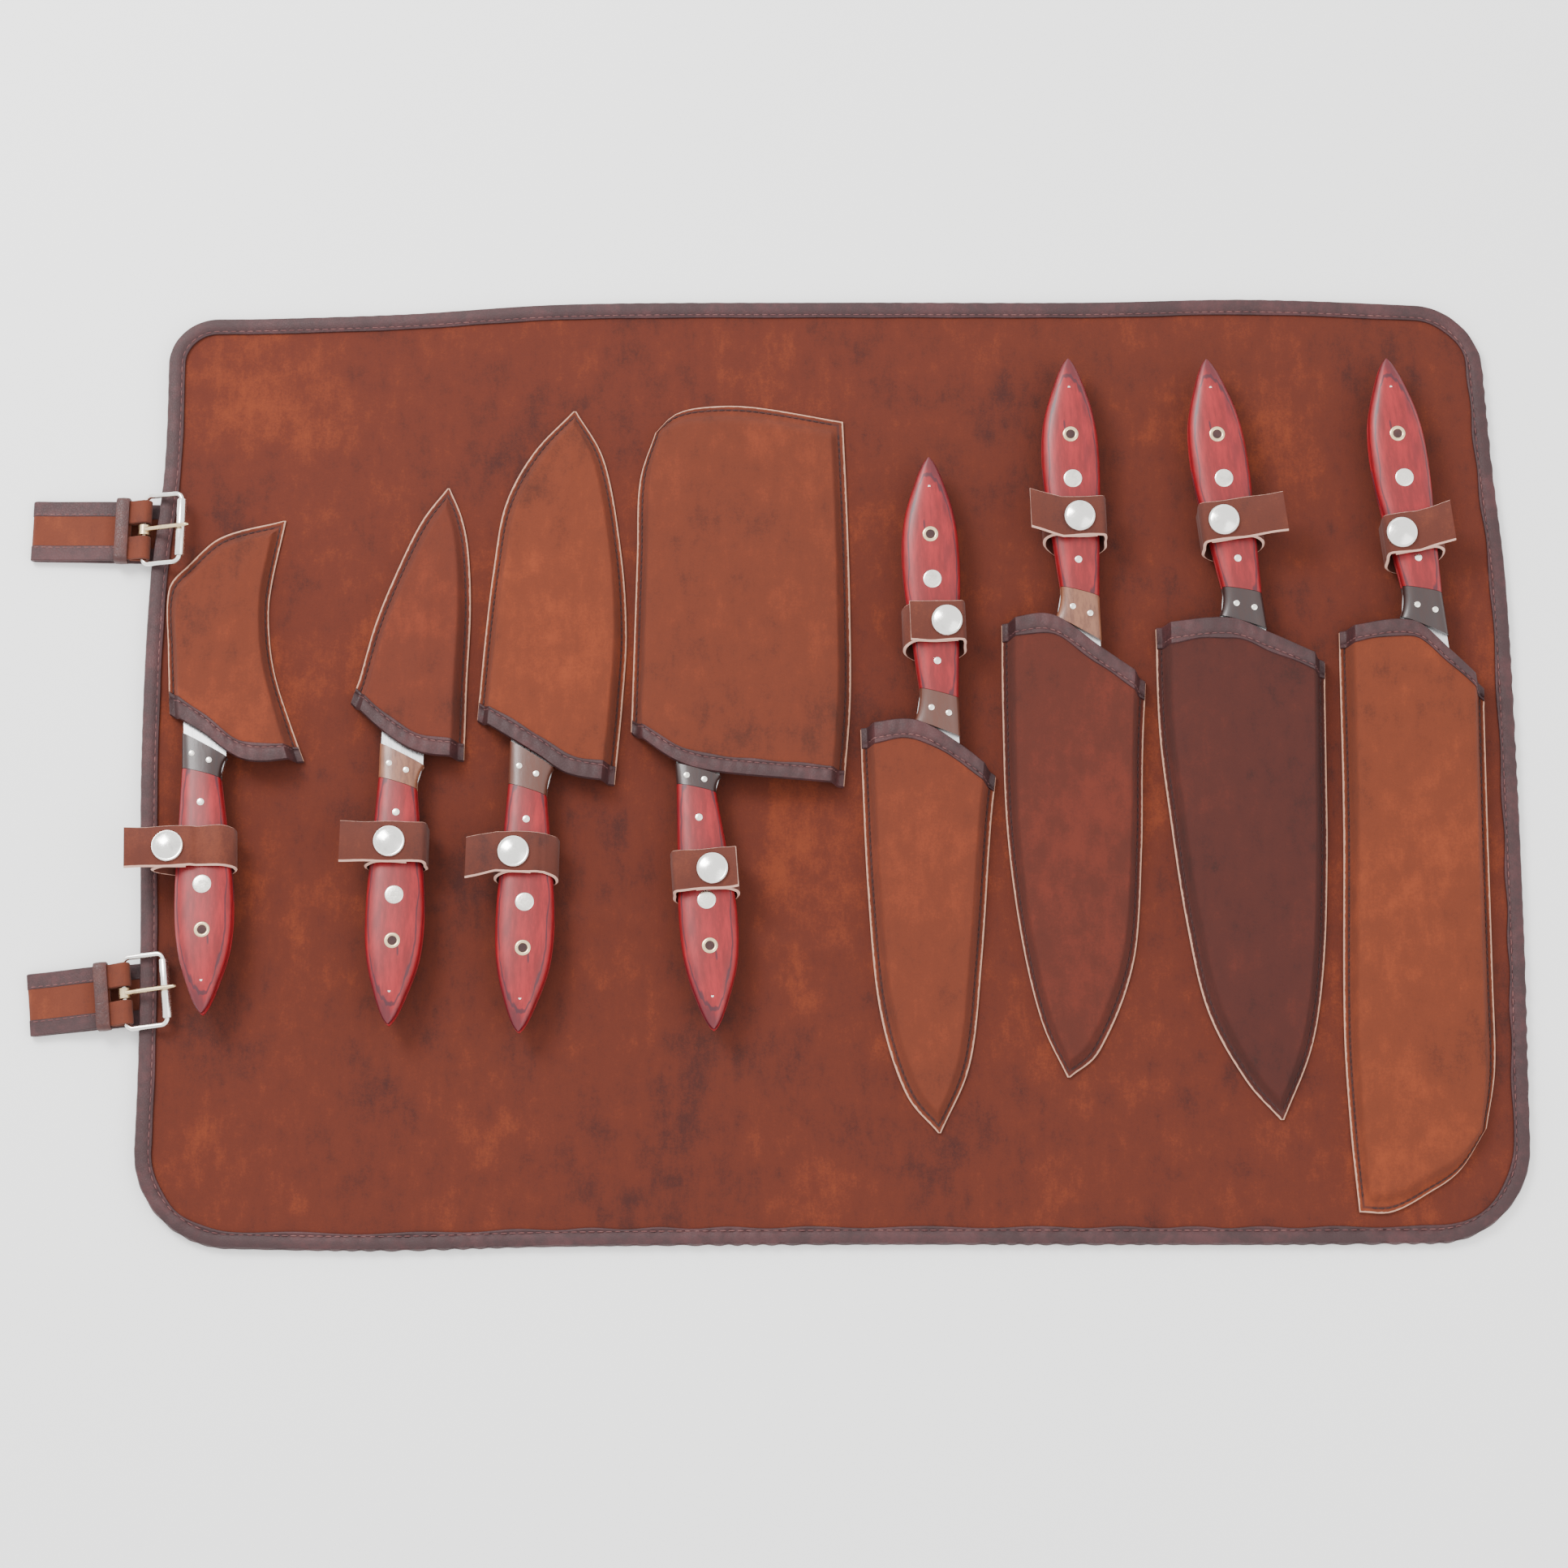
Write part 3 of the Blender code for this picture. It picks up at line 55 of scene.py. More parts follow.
PANEL_T = 0.0022
POCKET_T = 0.0016
BINDING_T = 0.0009
KEEPER_T = 0.0015
STRAP_T = 0.0020
LOOP_T = 0.0014
GAP = 0.0003
HANDLE_L = 0.1195
HANDLE_HALF_W = 0.0142
HANDLE_HALF_T = 0.0074
TANG_T = 0.0024
SECTION_AT = np.array([0.0, 0.24, 0.52, 0.72, 0.88, 1.0])
SECTION_WIDTH = np.array([0.67, 0.83, 1.0, 0.91, 0.54, 0.08])
SECTION_THICK = np.array([0.90, 0.96, 1.0, 0.98, 0.82, 0.50])
SECTION_SWAY = np.array([0.0, 0.04, 0.08, 0.07, 0.03, 0.0])
NECK_SKEW = 0.30
# How far each edge of the panel bulges out, as a share of the layout's edge_wave, from -0.5 to 0.5 along it.
EDGE_AT = np.array([-0.50, -0.33, -0.20, 0.00, 0.20, 0.33, 0.50])
EDGE_WAVES = {
    "top": (-1.00, -0.65, -0.10, 0.00, 0.00, 0.15, -0.30),
    "right": (-0.20, -0.10, 0.00, 0.00, -0.15, -0.60, -1.00),
    "bottom": (0.00, 0.20, 0.00, -0.10, -0.10, -0.10, -0.20),
    "left": (-0.30, -0.40, -0.30, 0.00, -0.10, -0.60, -0.60),
}
TIP_UP_Y = 0.0
TIP_DOWN_Y = 0.075


class Row(Enum):
    """Which way a knife's tip points on the panel."""

    UP = 1
    DOWN = -1


@dataclass(frozen=True)
class Station:
    """One knife's place: its pocket, how it lies and its keeper."""

    shape: str
    row: Row
    width: float
    length: float
    gap: float
    rise: float
    handle_at: float
    lean: float
    steel: float
    bolster: float
    heel_skew: float
    keeper_at: float
    snap_v: float
    tail_side: int
    tail: float
    skew: float
    ring_lean: float
    wood: str


STATIONS = (
    Station("trailing", Row.UP, 0.0694, 0.1244, 0.0, 0.0073, 0.26, 2.5, 0.0025, 0.0155, 0.60,
            0.320, -0.0150, -1, 0.021, 0.00, 0.0015, "dark"),
    Station("utility", Row.UP, 0.0582, 0.1396, 0.0224, 0.0090, 0.46, -0.7, 0.0045, 0.0155, 0.50,
            0.262, -0.0020, -1, 0.024, 0.02, 0.0015, "tan"),
    Station("chef", Row.UP, 0.0733, 0.1922, 0.0043, -0.0033, 0.39, -1.1, 0.0, 0.0190, 0.60,
            0.275, -0.0050, -1, 0.023, 0.25, 0.0040, "brown"),
    Station("cleaver", Row.UP, 0.1084, 0.1953, 0.0026, -0.0041, 0.315, 4.4, 0.0, 0.0100, 0.36,
            0.355, 0.0050, 1, 0.012, 0.00, 0.0035, "dark"),
    Station("carving", Row.DOWN, 0.0665, 0.2011, 0.0048, -0.0486, 0.415, 2.1, 0.0, 0.0180, 0.42,
            0.290, -0.0050, 1, 0.018, 0.05, 0.0065, "brown"),
    Station("broad", Row.DOWN, 0.0710, 0.2274, 0.0037, 0.0047, 0.45, 2.1, 0.0, 0.0195, 0.60,
            0.305, -0.0010, 1, 0.024, 0.32, 0.0065, "tan"),
    Station("santoku", Row.DOWN, 0.0836, 0.2462, 0.0054, 0.0029, 0.47, 7.4, 0.0, 0.0165, 0.45,
            0.290, 0.0050, -1, 0.031, 0.02, 0.0060, "dark"),
    Station("slicer", Row.DOWN, 0.0746, 0.2892, 0.0036, 0.0015, 0.40, 6.9, 0.0, 0.0190, 0.56,
            0.235, 0.0075, -1, 0.026, 0.18, 0.0060, "dark"),
)

# Each pocket's mouth, spine side, edge side and end, in shares of its width and length.
OUTLINES = {
    "trailing": (
        ((0.04, 0.20), (0.28, 0.12), (0.60, 0.00), (1.00, 0.01)),
        ((0.04, 0.20), (0.01, 0.46), (0.00, 0.71), (0.13, 0.81), (0.36, 0.93), (0.80, 1.00)),
        ((1.00, 0.01), (0.89, 0.17), (0.78, 0.35), (0.73, 0.50), (0.72, 0.68), (0.82, 1.00)),
        ((0.80, 1.00), (0.82, 1.00))),
    "utility": (
        ((0.00, 0.21), (0.31, 0.09), (0.59, 0.02), (0.97, 0.00)),
        ((0.00, 0.21), (0.06, 0.29), (0.19, 0.50), (0.38, 0.71), (0.57, 0.88), (0.78, 1.00)),
        ((0.97, 0.00), (0.98, 0.27), (1.00, 0.55), (0.97, 0.77), (0.91, 0.89), (0.80, 1.00)),
        ((0.78, 1.00), (0.80, 1.00))),
    "chef": (
        ((0.00, 0.17), (0.42, 0.07), (0.62, 0.02), (0.93, 0.00)),
        ((0.00, 0.17), (0.04, 0.38), (0.09, 0.57), (0.16, 0.74), (0.34, 0.88), (0.62, 1.00)),
        ((0.93, 0.00), (0.98, 0.23), (1.00, 0.40), (0.96, 0.61), (0.84, 0.86), (0.64, 1.00)),
        ((0.62, 1.00), (0.64, 1.00))),
    "cleaver": (
        ((0.00, 0.14), (0.20, 0.06), (0.37, 0.03), (0.97, 0.00)),
        ((0.00, 0.14), (0.01, 0.37), (0.02, 0.60), (0.03, 0.80), (0.10, 0.93)),
        ((0.97, 0.00), (1.00, 0.22), (1.00, 0.45), (0.99, 0.69), (0.97, 0.96)),
        ((0.10, 0.93), (0.19, 0.98), (0.33, 1.00), (0.55, 1.00), (0.97, 0.96))),
    "carving": (
        ((0.00, 0.13), (0.27, 0.06), (0.60, 0.00), (1.00, 0.01)),
        ((0.00, 0.13), (0.04, 0.25), (0.12, 0.59), (0.21, 0.83), (0.43, 1.00)),
        ((1.00, 0.01), (0.99, 0.12), (0.95, 0.42), (0.87, 0.70), (0.69, 0.90), (0.45, 1.00)),
        ((0.43, 1.00), (0.45, 1.00))),
    "broad": (
        ((0.00, 0.14), (0.33, 0.07), (0.66, 0.00), (1.00, 0.01)),
        ((0.00, 0.14), (0.03, 0.31), (0.05, 0.51), (0.12, 0.75), (0.36, 0.94), (0.57, 1.00)),
        ((1.00, 0.01), (1.00, 0.20), (0.98, 0.46), (0.89, 0.70), (0.76, 0.88), (0.59, 1.00)),
        ((0.57, 1.00), (0.59, 1.00))),
    "santoku": (
        ((0.00, 0.08), (0.34, 0.03), (0.57, 0.00), (1.00, 0.01)),
        ((0.00, 0.08), (0.01, 0.30), (0.02, 0.47), (0.06, 0.69), (0.14, 0.85), (0.32, 1.00)),
        ((1.00, 0.01), (0.99, 0.22), (0.94, 0.39), (0.86, 0.60), (0.75, 0.78), (0.54, 0.92), (0.34, 1.00)),
        ((0.32, 1.00), (0.34, 1.00))),
    "slicer": (
        ((0.00, 0.11), (0.24, 0.05), (0.48, 0.00), (0.95, 0.01)),
        ((0.00, 0.11), (0.01, 0.33), (0.02, 0.62), (0.03, 0.76), (0.10, 0.86)),
        ((0.95, 0.01), (0.96, 0.33), (1.00, 0.69), (0.98, 0.86), (0.94, 1.00)),
        ((0.10, 0.86), (0.28, 0.93), (0.50, 0.97), (0.73, 1.00), (0.94, 1.00))),
}


def hermite(knots: Array, values: Array, at: Array) -> Array:
    """Smooth curve through knots: cubic pieces whose slopes are the chords between their neighbours.

    Args:
        knots: rising places of the values.
        values: one value or one row of values for each knot.
        at: where the curve is read.
    Returns:
        The curve's values, with the shape of at and the values' columns.
    """
    knots = np.asarray(knots, float)
    values = np.asarray(values, float)
    flat = values.ndim == 1
    if flat:
        values = values[:, None]
    gaps = np.diff(knots)
    chords = np.diff(values, axis=0) / gaps[:, None]
    inner = (values[2:] - values[:-2]) / (knots[2:] - knots[:-2])[:, None]
    slopes = np.vstack([chords[:1], inner, chords[-1:]])
    at = np.asarray(at, float)
    where = np.clip(np.searchsorted(knots, at, side="right") - 1, 0, len(gaps) - 1)
    t = ((at - knots[where]) / gaps[where])[..., None]
    run = gaps[where][..., None]
    out = values[where] * (2 * t**3 - 3 * t**2 + 1) + slopes[where] * run * (t**3 - 2 * t**2 + t)
    out = out + values[where + 1] * (3 * t**2 - 2 * t**3) + slopes[where + 1] * run * (t**3 - t**2)
    return out[..., 0] if flat else out


def along(points: Array, share: Array) -> Array:
    """Smooth curve through points, read at shares of its chord length."""
    points = np.asarray(points, float)
    runs = np.concatenate([[0.0], np.cumsum(np.linalg.norm(np.diff(points, axis=0), axis=1))])
    return hermite(runs / runs[-1], points, share)


def ease(value: Array, low: float, high: float) -> Array:
    """Smooth step from 0 at low to 1 at high: 3t squared less 2t cubed."""
    t = np.clip((value - low) / (high - low), 0.0, 1.0)
    return t * t * (3 - 2 * t)


def unit(vectors: Array) -> Array:
    """Vectors divided by their lengths."""
    return vectors / np.maximum(np.linalg.norm(vectors, axis=-1, keepdims=True), 1e-12)


def ripple(x: Array, y: Array, scale: float) -> Array:
    """Uneven waves between about -1 and 1: a sum of sines that cross at odd angles."""
    a = np.sin(x * scale + 1.3 * np.sin(y * scale * 0.7))
    a = a + np.sin(y * scale * 1.31 + 2.1 * np.sin(x * scale * 0.53))
    b = np.sin((x + y) * scale * 1.9 + 0.6) * 0.5 + np.sin((x - 0.6 * y) * scale * 2.7 + 1.9) * 0.35
    return (a + b) / 2.9


@dataclass
class Shell:
    """A mesh as arrays: points, quads, triangles and named values at the points."""

    points: Array
    quads: Array
    tris: Array = field(default_factory=lambda: np.zeros((0, 3), int))
    marks: dict = field(default_factory=dict)

    def moved(self, matrix: Matrix) -> "Shell":
        """The same shell carried by a matrix."""
        m = np.array(matrix)
        return Shell(self.points @ m[:3, :3].T + m[:3, 3], self.quads, self.tris, self.marks)

    def object(self, name: str, shift: Array, material: bpy.types.Material, sharp: float = 40.0):
        """Make the Blender object, its faces turned out, smooth below the sharp angle in degrees."""
        tris = np.vstack([self.quads[:, :3], self.quads[:, [0, 2, 3]], self.tris])
        a, b, c = (self.points[tris[:, i]] for i in range(3))
        quads, caps = self.quads, self.tris
        if (a * np.cross(b, c)).sum() < 0:
            quads, caps = quads[:, ::-1], caps[:, ::-1]
        mesh = bpy.data.meshes.new(name)
        mesh.vertices.add(len(self.points))
        mesh.vertices.foreach_set("co", (self.points + shift).ravel())
        loops = np.concatenate([quads.ravel(), caps.ravel()]).astype(np.int32)
        starts = np.concatenate([np.arange(len(quads)) * 4, len(quads) * 4 + np.arange(len(caps)) * 3])
        mesh.loops.add(len(loops))
        mesh.loops.foreach_set("vertex_index", loops)
        mesh.polygons.add(len(starts))
        mesh.polygons.foreach_set("loop_start", starts.astype(np.int32))
        mesh.update(calc_edges=True)
        for key, value in self.marks.items():
            kind = "FLOAT" if value.ndim == 1 else "FLOAT_VECTOR"
            layer = mesh.attributes.new(key, kind, "POINT")
            layer.data.foreach_set("value" if value.ndim == 1 else "vector", value.astype(np.float32).ravel())
        mesh.shade_smooth()
        mesh.set_sharp_from_angle(angle=math.radians(sharp))
        mesh.materials.append(material)
        made = bpy.data.objects.new(name, mesh)
        bpy.context.scene.collection.objects.link(made)
        return made


def join(shells: list) -> Shell:
    """Several shells as one, with the marks that the first one has."""
    offsets = np.concatenate([[0], np.cumsum([len(s.points) for s in shells])[:-1]])
    marks = {k: np.concatenate([s.marks[k] for s in shells]) for k in shells[0].marks}
    return Shell(
        np.vstack([s.points for s in shells]),
        np.vstack([s.quads + o for s, o in zip(shells, offsets)]),
        np.vstack([s.tris + o for s, o in zip(shells, offsets)]), marks)


def grid_quads(rows: int, cols: int, wrap_rows: bool, wrap_cols: bool) -> Array:
    """The quads of a grid of points, joined round where wrapped."""
    r = np.arange(rows if wrap_rows else rows - 1)[:, None]
    c = np.arange(cols if wrap_cols else cols - 1)[None, :]
    r2 = (r + 1) % rows
    c2 = (c + 1) % cols
    return np.stack([r * cols + c, r * cols + c2, r2 * cols + c2, r2 * cols + c], axis=-1).reshape(-1, 4)


def carried(path: Array, side: Array, up: Array, profile: Array, closed: bool, marks: Array = None) -> Shell:
    """A closed profile carried along a path: point = path + side times a + up times b, with fan caps.

    Args:
        path: the path's points, one row each.
        side: the profile's first direction at each point.
        up: the profile's second direction at each point.
        profile: (a, b) rows, the same all along or one set for each point.
        closed: whether the path runs round.
        marks: one value for each profile point, kept as the mark cut.
    Returns:
        The closed shell.
    """
    n = len(path)
    prof = np.broadcast_to(profile, (n,) + profile.shape[-2:])
    pts = path[:, None] + side[:, None] * prof[..., :1] + up[:, None] * prof[..., 1:]
    m = prof.shape[1]
    points = pts.reshape(-1, 3)
    tris = np.zeros((0, 3), int)
    cut = np.tile(np.zeros(m) if marks is None else marks, n)
    if not closed:
        ends = np.array([pts[0].mean(0), pts[-1].mean(0)])
        points = np.vstack([points, ends])
        ring = np.arange(m)
        after = (ring + 1) % m
        tris = np.vstack([
            np.stack([np.full(m, n * m), after, ring], 1),
            np.stack([np.full(m, n * m + 1), (n - 1) * m + ring, (n - 1) * m + after], 1)])
        cut = np.concatenate([cut, [cut.max(), cut.max()]])
    return Shell(points, grid_quads(n, m, closed, True), tris, {"cut": cut})


def lathe(profile: Array, turns: int, closed: bool = False) -> Shell:
    """A profile of (radius, height) turned round Z. Its ends meet the axis, unless it closes on itself."""
    a = np.linspace(0, 2 * np.pi, turns, endpoint=False)
    r, z = profile[:, 0], profile[:, 1]
    pts = np.stack([np.outer(np.cos(a), r), np.outer(np.sin(a), r), np.tile(z, (turns, 1))], -1)
    m = len(profile)
    points = pts.reshape(-1, 3)
    quads = grid_quads(turns, m, True, closed)
    tris = np.zeros((0, 3), int)
    if not closed:
        points = np.vstack([points, [[0, 0, z[0]], [0, 0, z[-1]]]])
        ring = np.arange(turns) * m
        after = np.roll(ring, -1)
        tris = np.vstack([
            np.stack([np.full(turns, turns * m), after, ring], 1),
            np.stack([np.full(turns, turns * m + 1), ring + m - 1, after + m - 1], 1)])
    return Shell(points, quads, tris, {"cut": np.zeros(len(points))})


def stitches(line: Array, pitch: float, length: float, radius: float, closed: bool = False) -> Shell:
    """Thread stitches along a line: capsules of six sides that dip at both ends.

    Args:
        line: the seam's points.
        pitch: from one stitch to the next.
        length: each stitch's length.
        radius: the thread's radius.
        closed: whether the seam runs round.
    Returns:
        All the stitches as one shell.
    """
    if closed:
        line = np.vstack([line, line[:1]])
    runs = np.concatenate([[0.0], np.cumsum(np.linalg.norm(np.diff(line, axis=0), axis=1))])
    centres = np.arange(pitch / 2, runs[-1] - pitch / 2, pitch)
    mid, ahead, behind = (
        np.stack([np.interp(centres + d, runs, line[:, i]) for i in range(3)], 1)
        for d in (0, pitch / 3, -pitch / 3))
    t = unit(ahead - behind)
    side = unit(np.cross(np.array([0.0, 0.0, 1.0]), t))
    up = np.cross(t, side)
    x = np.array([-0.5, -0.36, 0.0, 0.36, 0.5]) * length
    rad = np.array([0.25, 0.85, 1.0, 0.85, 0.25]) * radius
    dip = np.array([-0.8, -0.25, 0.0, -0.25, -0.8]) * radius
    turn = np.linspace(0, 2 * np.pi, 6, endpoint=False)
    ring = (mid[:, None, None] + t[:, None, None] * x[None, :, None, None]
            + side[:, None, None] * (rad[:, None] * np.cos(turn))[None, ..., None]
            + up[:, None, None] * (dip[:, None] + rad[:, None] * np.sin(turn))[None, ..., None])
    points = ring.reshape(-1, 3)
    one = grid_quads(5, 6, False, True)
    caps = np.array([[0, 2, 1], [0, 3, 2], [0, 4, 3], [0, 5, 4],
                     [24, 25, 26], [24, 26, 27], [24, 27, 28], [24, 28, 29]])
    base = np.arange(len(mid))[:, None, None] * 30
    marks = {"cut": np.zeros(len(points))}
    return Shell(points, (one + base).reshape(-1, 4), (caps + base).reshape(-1, 3), marks)


class Nodes:
    """Builds a shader tree: adds nodes, links them, and makes the shared groups."""

    def __init__(self, tree: bpy.types.NodeTree) -> None:
        """Take the tree to build in."""
        self.tree = tree

    def add(self, kind: str, inputs: dict = None, **settings):
        """Add a node, set its properties, and set or link its inputs."""
        node = self.tree.nodes.new(kind)
        for key, value in settings.items():
            setattr(node, key, value)
        for key, value in (inputs or {}).items():
            if isinstance(value, bpy.types.NodeSocket):
                self.tree.links.new(value, node.inputs[key])
            else:
                node.inputs[key].default_value = value
        return node

    def noise(self, vector, scale: float, detail: float = 4.0, rough: float = 0.6):
        """A noise factor on a vector."""
        return self.add("ShaderNodeTexNoise", {"Vector": vector, "Scale": scale, "Detail": detail,
                                               "Roughness": rough}).outputs["Fac"]

    def sum(self, how: str, a, b):
        """A math node's value."""
        return self.add("ShaderNodeMath", {0: a, 1: b}, operation=how).outputs[0]

    def span(self, value, low: float, high: float, out_low: float = 0.0, out_high: float = 1.0):
        """A value mapped smoothly from one span to another."""
        return self.add("ShaderNodeMapRange", {"Value": value, "From Min": low, "From Max": high,
                                               "To Min": out_low, "To Max": out_high},
                        interpolation_type="SMOOTHSTEP").outputs["Result"]

    def blend(self, factor, a, b):
        """Colour a where the factor is 0 and b where it is 1."""
        node = self.add("ShaderNodeMix", {0: factor}, data_type="RGBA")
        for index, value in ((6, a), (7, b)):
            if isinstance(value, bpy.types.NodeSocket):
                self.tree.links.new(value, node.inputs[index])
            else:
                node.inputs[index].default_value = (*value, 1.0)
        return node.outputs[2]


def shader_group(name: str, sockets: tuple) -> tuple:
    """Make a node group with named sockets.

    Args:
        name: the group's name.
        sockets: (name, in or out, socket type) rows.
    Returns:
        The tree builder, its input node and its output node.
    """
    tree = bpy.data.node_groups.new(name, "ShaderNodeTree")
    for label, way, kind in sockets:
        tree.interface.new_socket(name=label, in_out=way, socket_type=kind)
    return Nodes(tree), tree.nodes.new("NodeGroupInput"), tree.nodes.new("NodeGroupOutput")


def nap_group() -> bpy.types.NodeTree:
    """The brushed suede nap: broad handling marks, small blotches and fine fibres, and their height."""
    n, given, out = shader_group("suede_nap", (
        ("Dark", "INPUT", "NodeSocketColor"), ("Mid", "INPUT", "NodeSocketColor"),
        ("Light", "INPUT", "NodeSocketColor"), ("Colour", "OUTPUT", "NodeSocketColor"),
        ("Height", "OUTPUT", "NodeSocketFloat")))
    at = n.add("ShaderNodeTexCoord").outputs["Object"]
    broad = n.noise(at, 9.0, 3.0, 0.55)
    blotch = n.noise(at, 62.0, 5.0, 0.65)
    stretched = n.add("ShaderNodeMapping", {"Vector": at, "Scale": (1.0, 0.35, 1.0)}).outputs["Vector"]
    brushed = n.noise(stretched, 150.0, 3.0, 0.7)
    fibre = n.noise(at, 900.0, 3.0, 0.8)
    total = n.sum("ADD", n.sum("MULTIPLY", broad, 0.38), n.sum("MULTIPLY", blotch, 0.26))
    total = n.sum("ADD", total, n.sum("MULTIPLY", brushed, 0.20))
    total = n.sum("ADD", total, n.sum("MULTIPLY", fibre, 0.16))
    low = n.blend(n.span(total, 0.36, 0.50), given.outputs["Dark"], given.outputs["Mid"])
    n.tree.links.new(n.blend(n.span(total, 0.50, 0.64), low, given.outputs["Light"]), out.inputs["Colour"])
    height = n.sum("ADD", n.sum("MULTIPLY", fibre, 0.6), n.sum("MULTIPLY", brushed, 0.4))
    n.tree.links.new(height, out.inputs["Height"])
    return n.tree


def grain_group() -> bpy.types.NodeTree:
    """Leather grain: pebbles from cell edges, with pale wear on the raised parts."""
    n, given, out = shader_group("leather_grain", (
        ("Colour", "INPUT", "NodeSocketColor"), ("Worn", "INPUT", "NodeSocketColor"),
        ("Colour", "OUTPUT", "NodeSocketColor"), ("Height", "OUTPUT", "NodeSocketFloat")))
    at = n.add("ShaderNodeTexCoord").outputs["Object"]
    pebbles = {"Vector": at, "Scale": 720.0}
    cells = n.add("ShaderNodeTexVoronoi", pebbles, feature="DISTANCE_TO_EDGE").outputs[0]
    soft = n.noise(at, 45.0, 4.0)
    streak = n.noise(at, 260.0, 4.0, 0.7)
    mask = n.span(n.sum("ADD", n.sum("MULTIPLY", soft, 0.6), n.sum("MULTIPLY", streak, 0.4)), 0.42, 0.66)
    n.tree.links.new(n.blend(mask, given.outputs["Colour"], given.outputs["Worn"]), out.inputs["Colour"])
    n.tree.links.new(n.sum("ADD", n.span(cells, 0.0, 0.12), streak), out.inputs["Height"])
    return n.tree


@dataclass(frozen=True)
class Finish:
    """A finish's plain values; the kinds below add their patterns."""

    name: str
    colour: tuple
    roughness: float
    metallic: float = 0.0
    sheen: float = 0.0
    coat: float = 0.0

    def start(self) -> tuple:
        """Make the material and set the shader's own sockets."""
        made = bpy.data.materials.new(self.name)
        made.use_nodes = True
        shader = made.node_tree.nodes["Principled BSDF"]
        shader.inputs["Base Color"].default_value = (*self.colour, 1.0)
        shader.inputs["Roughness"].default_value = self.roughness
        shader.inputs["Metallic"].default_value = self.metallic
        shader.inputs["Sheen Weight"].default_value = self.sheen
        shader.inputs["Sheen Roughness"].default_value = 0.5
        shader.inputs["Coat Weight"].default_value = self.coat
        shader.inputs["Coat Roughness"].default_value = 0.18
        return made, Nodes(made.node_tree), shader

    def bump(self, n: Nodes, shader, height, strength: float, distance: float) -> None:
        """Feed a height to the shader's normal."""
        node = n.add("ShaderNodeBump", {"Height": height, "Strength": strength, "Distance": distance})
        n.tree.links.new(node.outputs[0], shader.inputs["Normal"])


@dataclass(frozen=True)
class Suede(Finish):
    """Napped suede with a pale cut edge and painted shade in the seam groove where the piece has the mark
    cut.
    """

    dark: tuple = (0.12, 0.026, 0.011)
    light: tuple = (0.36, 0.105, 0.036)
    edge: tuple = (0.42, 0.23, 0.16)
    edged: bool = False
    # whether to paint shade into the seam groove, 1.7 to 3.7 mm in from the cut edge
    groove: bool = False

    def make(self, nap: bpy.types.NodeTree) -> bpy.types.Material:
        """Build the material round the shared nap."""
        made, n, shader = self.start()
        group = n.add("ShaderNodeGroup", node_tree=nap)
        for key, value in (("Dark", self.dark), ("Mid", self.colour), ("Light", self.light)):
            group.inputs[key].default_value = (*value, 1.0)
        colour = group.outputs["Colour"]
        if self.edged:
            cut = n.add("ShaderNodeAttribute", attribute_name="cut").outputs["Fac"]
            fray = n.noise(n.add("ShaderNodeTexCoord").outputs["Object"], 420.0, 2.0)
            worn = n.sum("ADD", cut, n.sum("MULTIPLY", n.sum("SUBTRACT", fray, 0.5), 0.9))
            if self.groove:
                # painted shade: the band over the seam groove, 1.7 to 3.7 mm in from the cut edge, is
                # darkened towards near black
                seam = n.sum("MULTIPLY", n.span(cut, 1.7, 2.4), n.span(cut, 2.8, 3.7, 1.0, 0.0))
                colour = n.blend(n.sum("MULTIPLY", seam, 0.75), colour, (0.045, 0.012, 0.010))
                colour = n.blend(n.span(worn, 0.55, 0.95, 1.0, 0.0), colour, self.edge)
            else:
                colour = n.blend(n.span(worn, 0.4, 0.7), colour, self.edge)
        n.tree.links.new(colour, shader.inputs["Base Color"])
        self.bump(n, shader, group.outputs["Height"], 0.55, 0.0006)
        return made


@dataclass(frozen=True)
class Hide(Finish):
    """Soft grain leather, worn paler on its raised parts."""

    worn: tuple = (0.13, 0.045, 0.045)

    def make(self, grain: bpy.types.NodeTree) -> bpy.types.Material:
        """Build the material round the shared grain."""
        made, n, shader = self.start()
        group = n.add("ShaderNodeGroup", node_tree=grain)
        group.inputs["Colour"].default_value = (*self.colour, 1.0)
        group.inputs["Worn"].default_value = (*self.worn, 1.0)
        n.tree.links.new(group.outputs["Colour"], shader.inputs["Base Color"])
        self.bump(n, shader, group.outputs["Height"], 0.35, 0.0003)
        return made


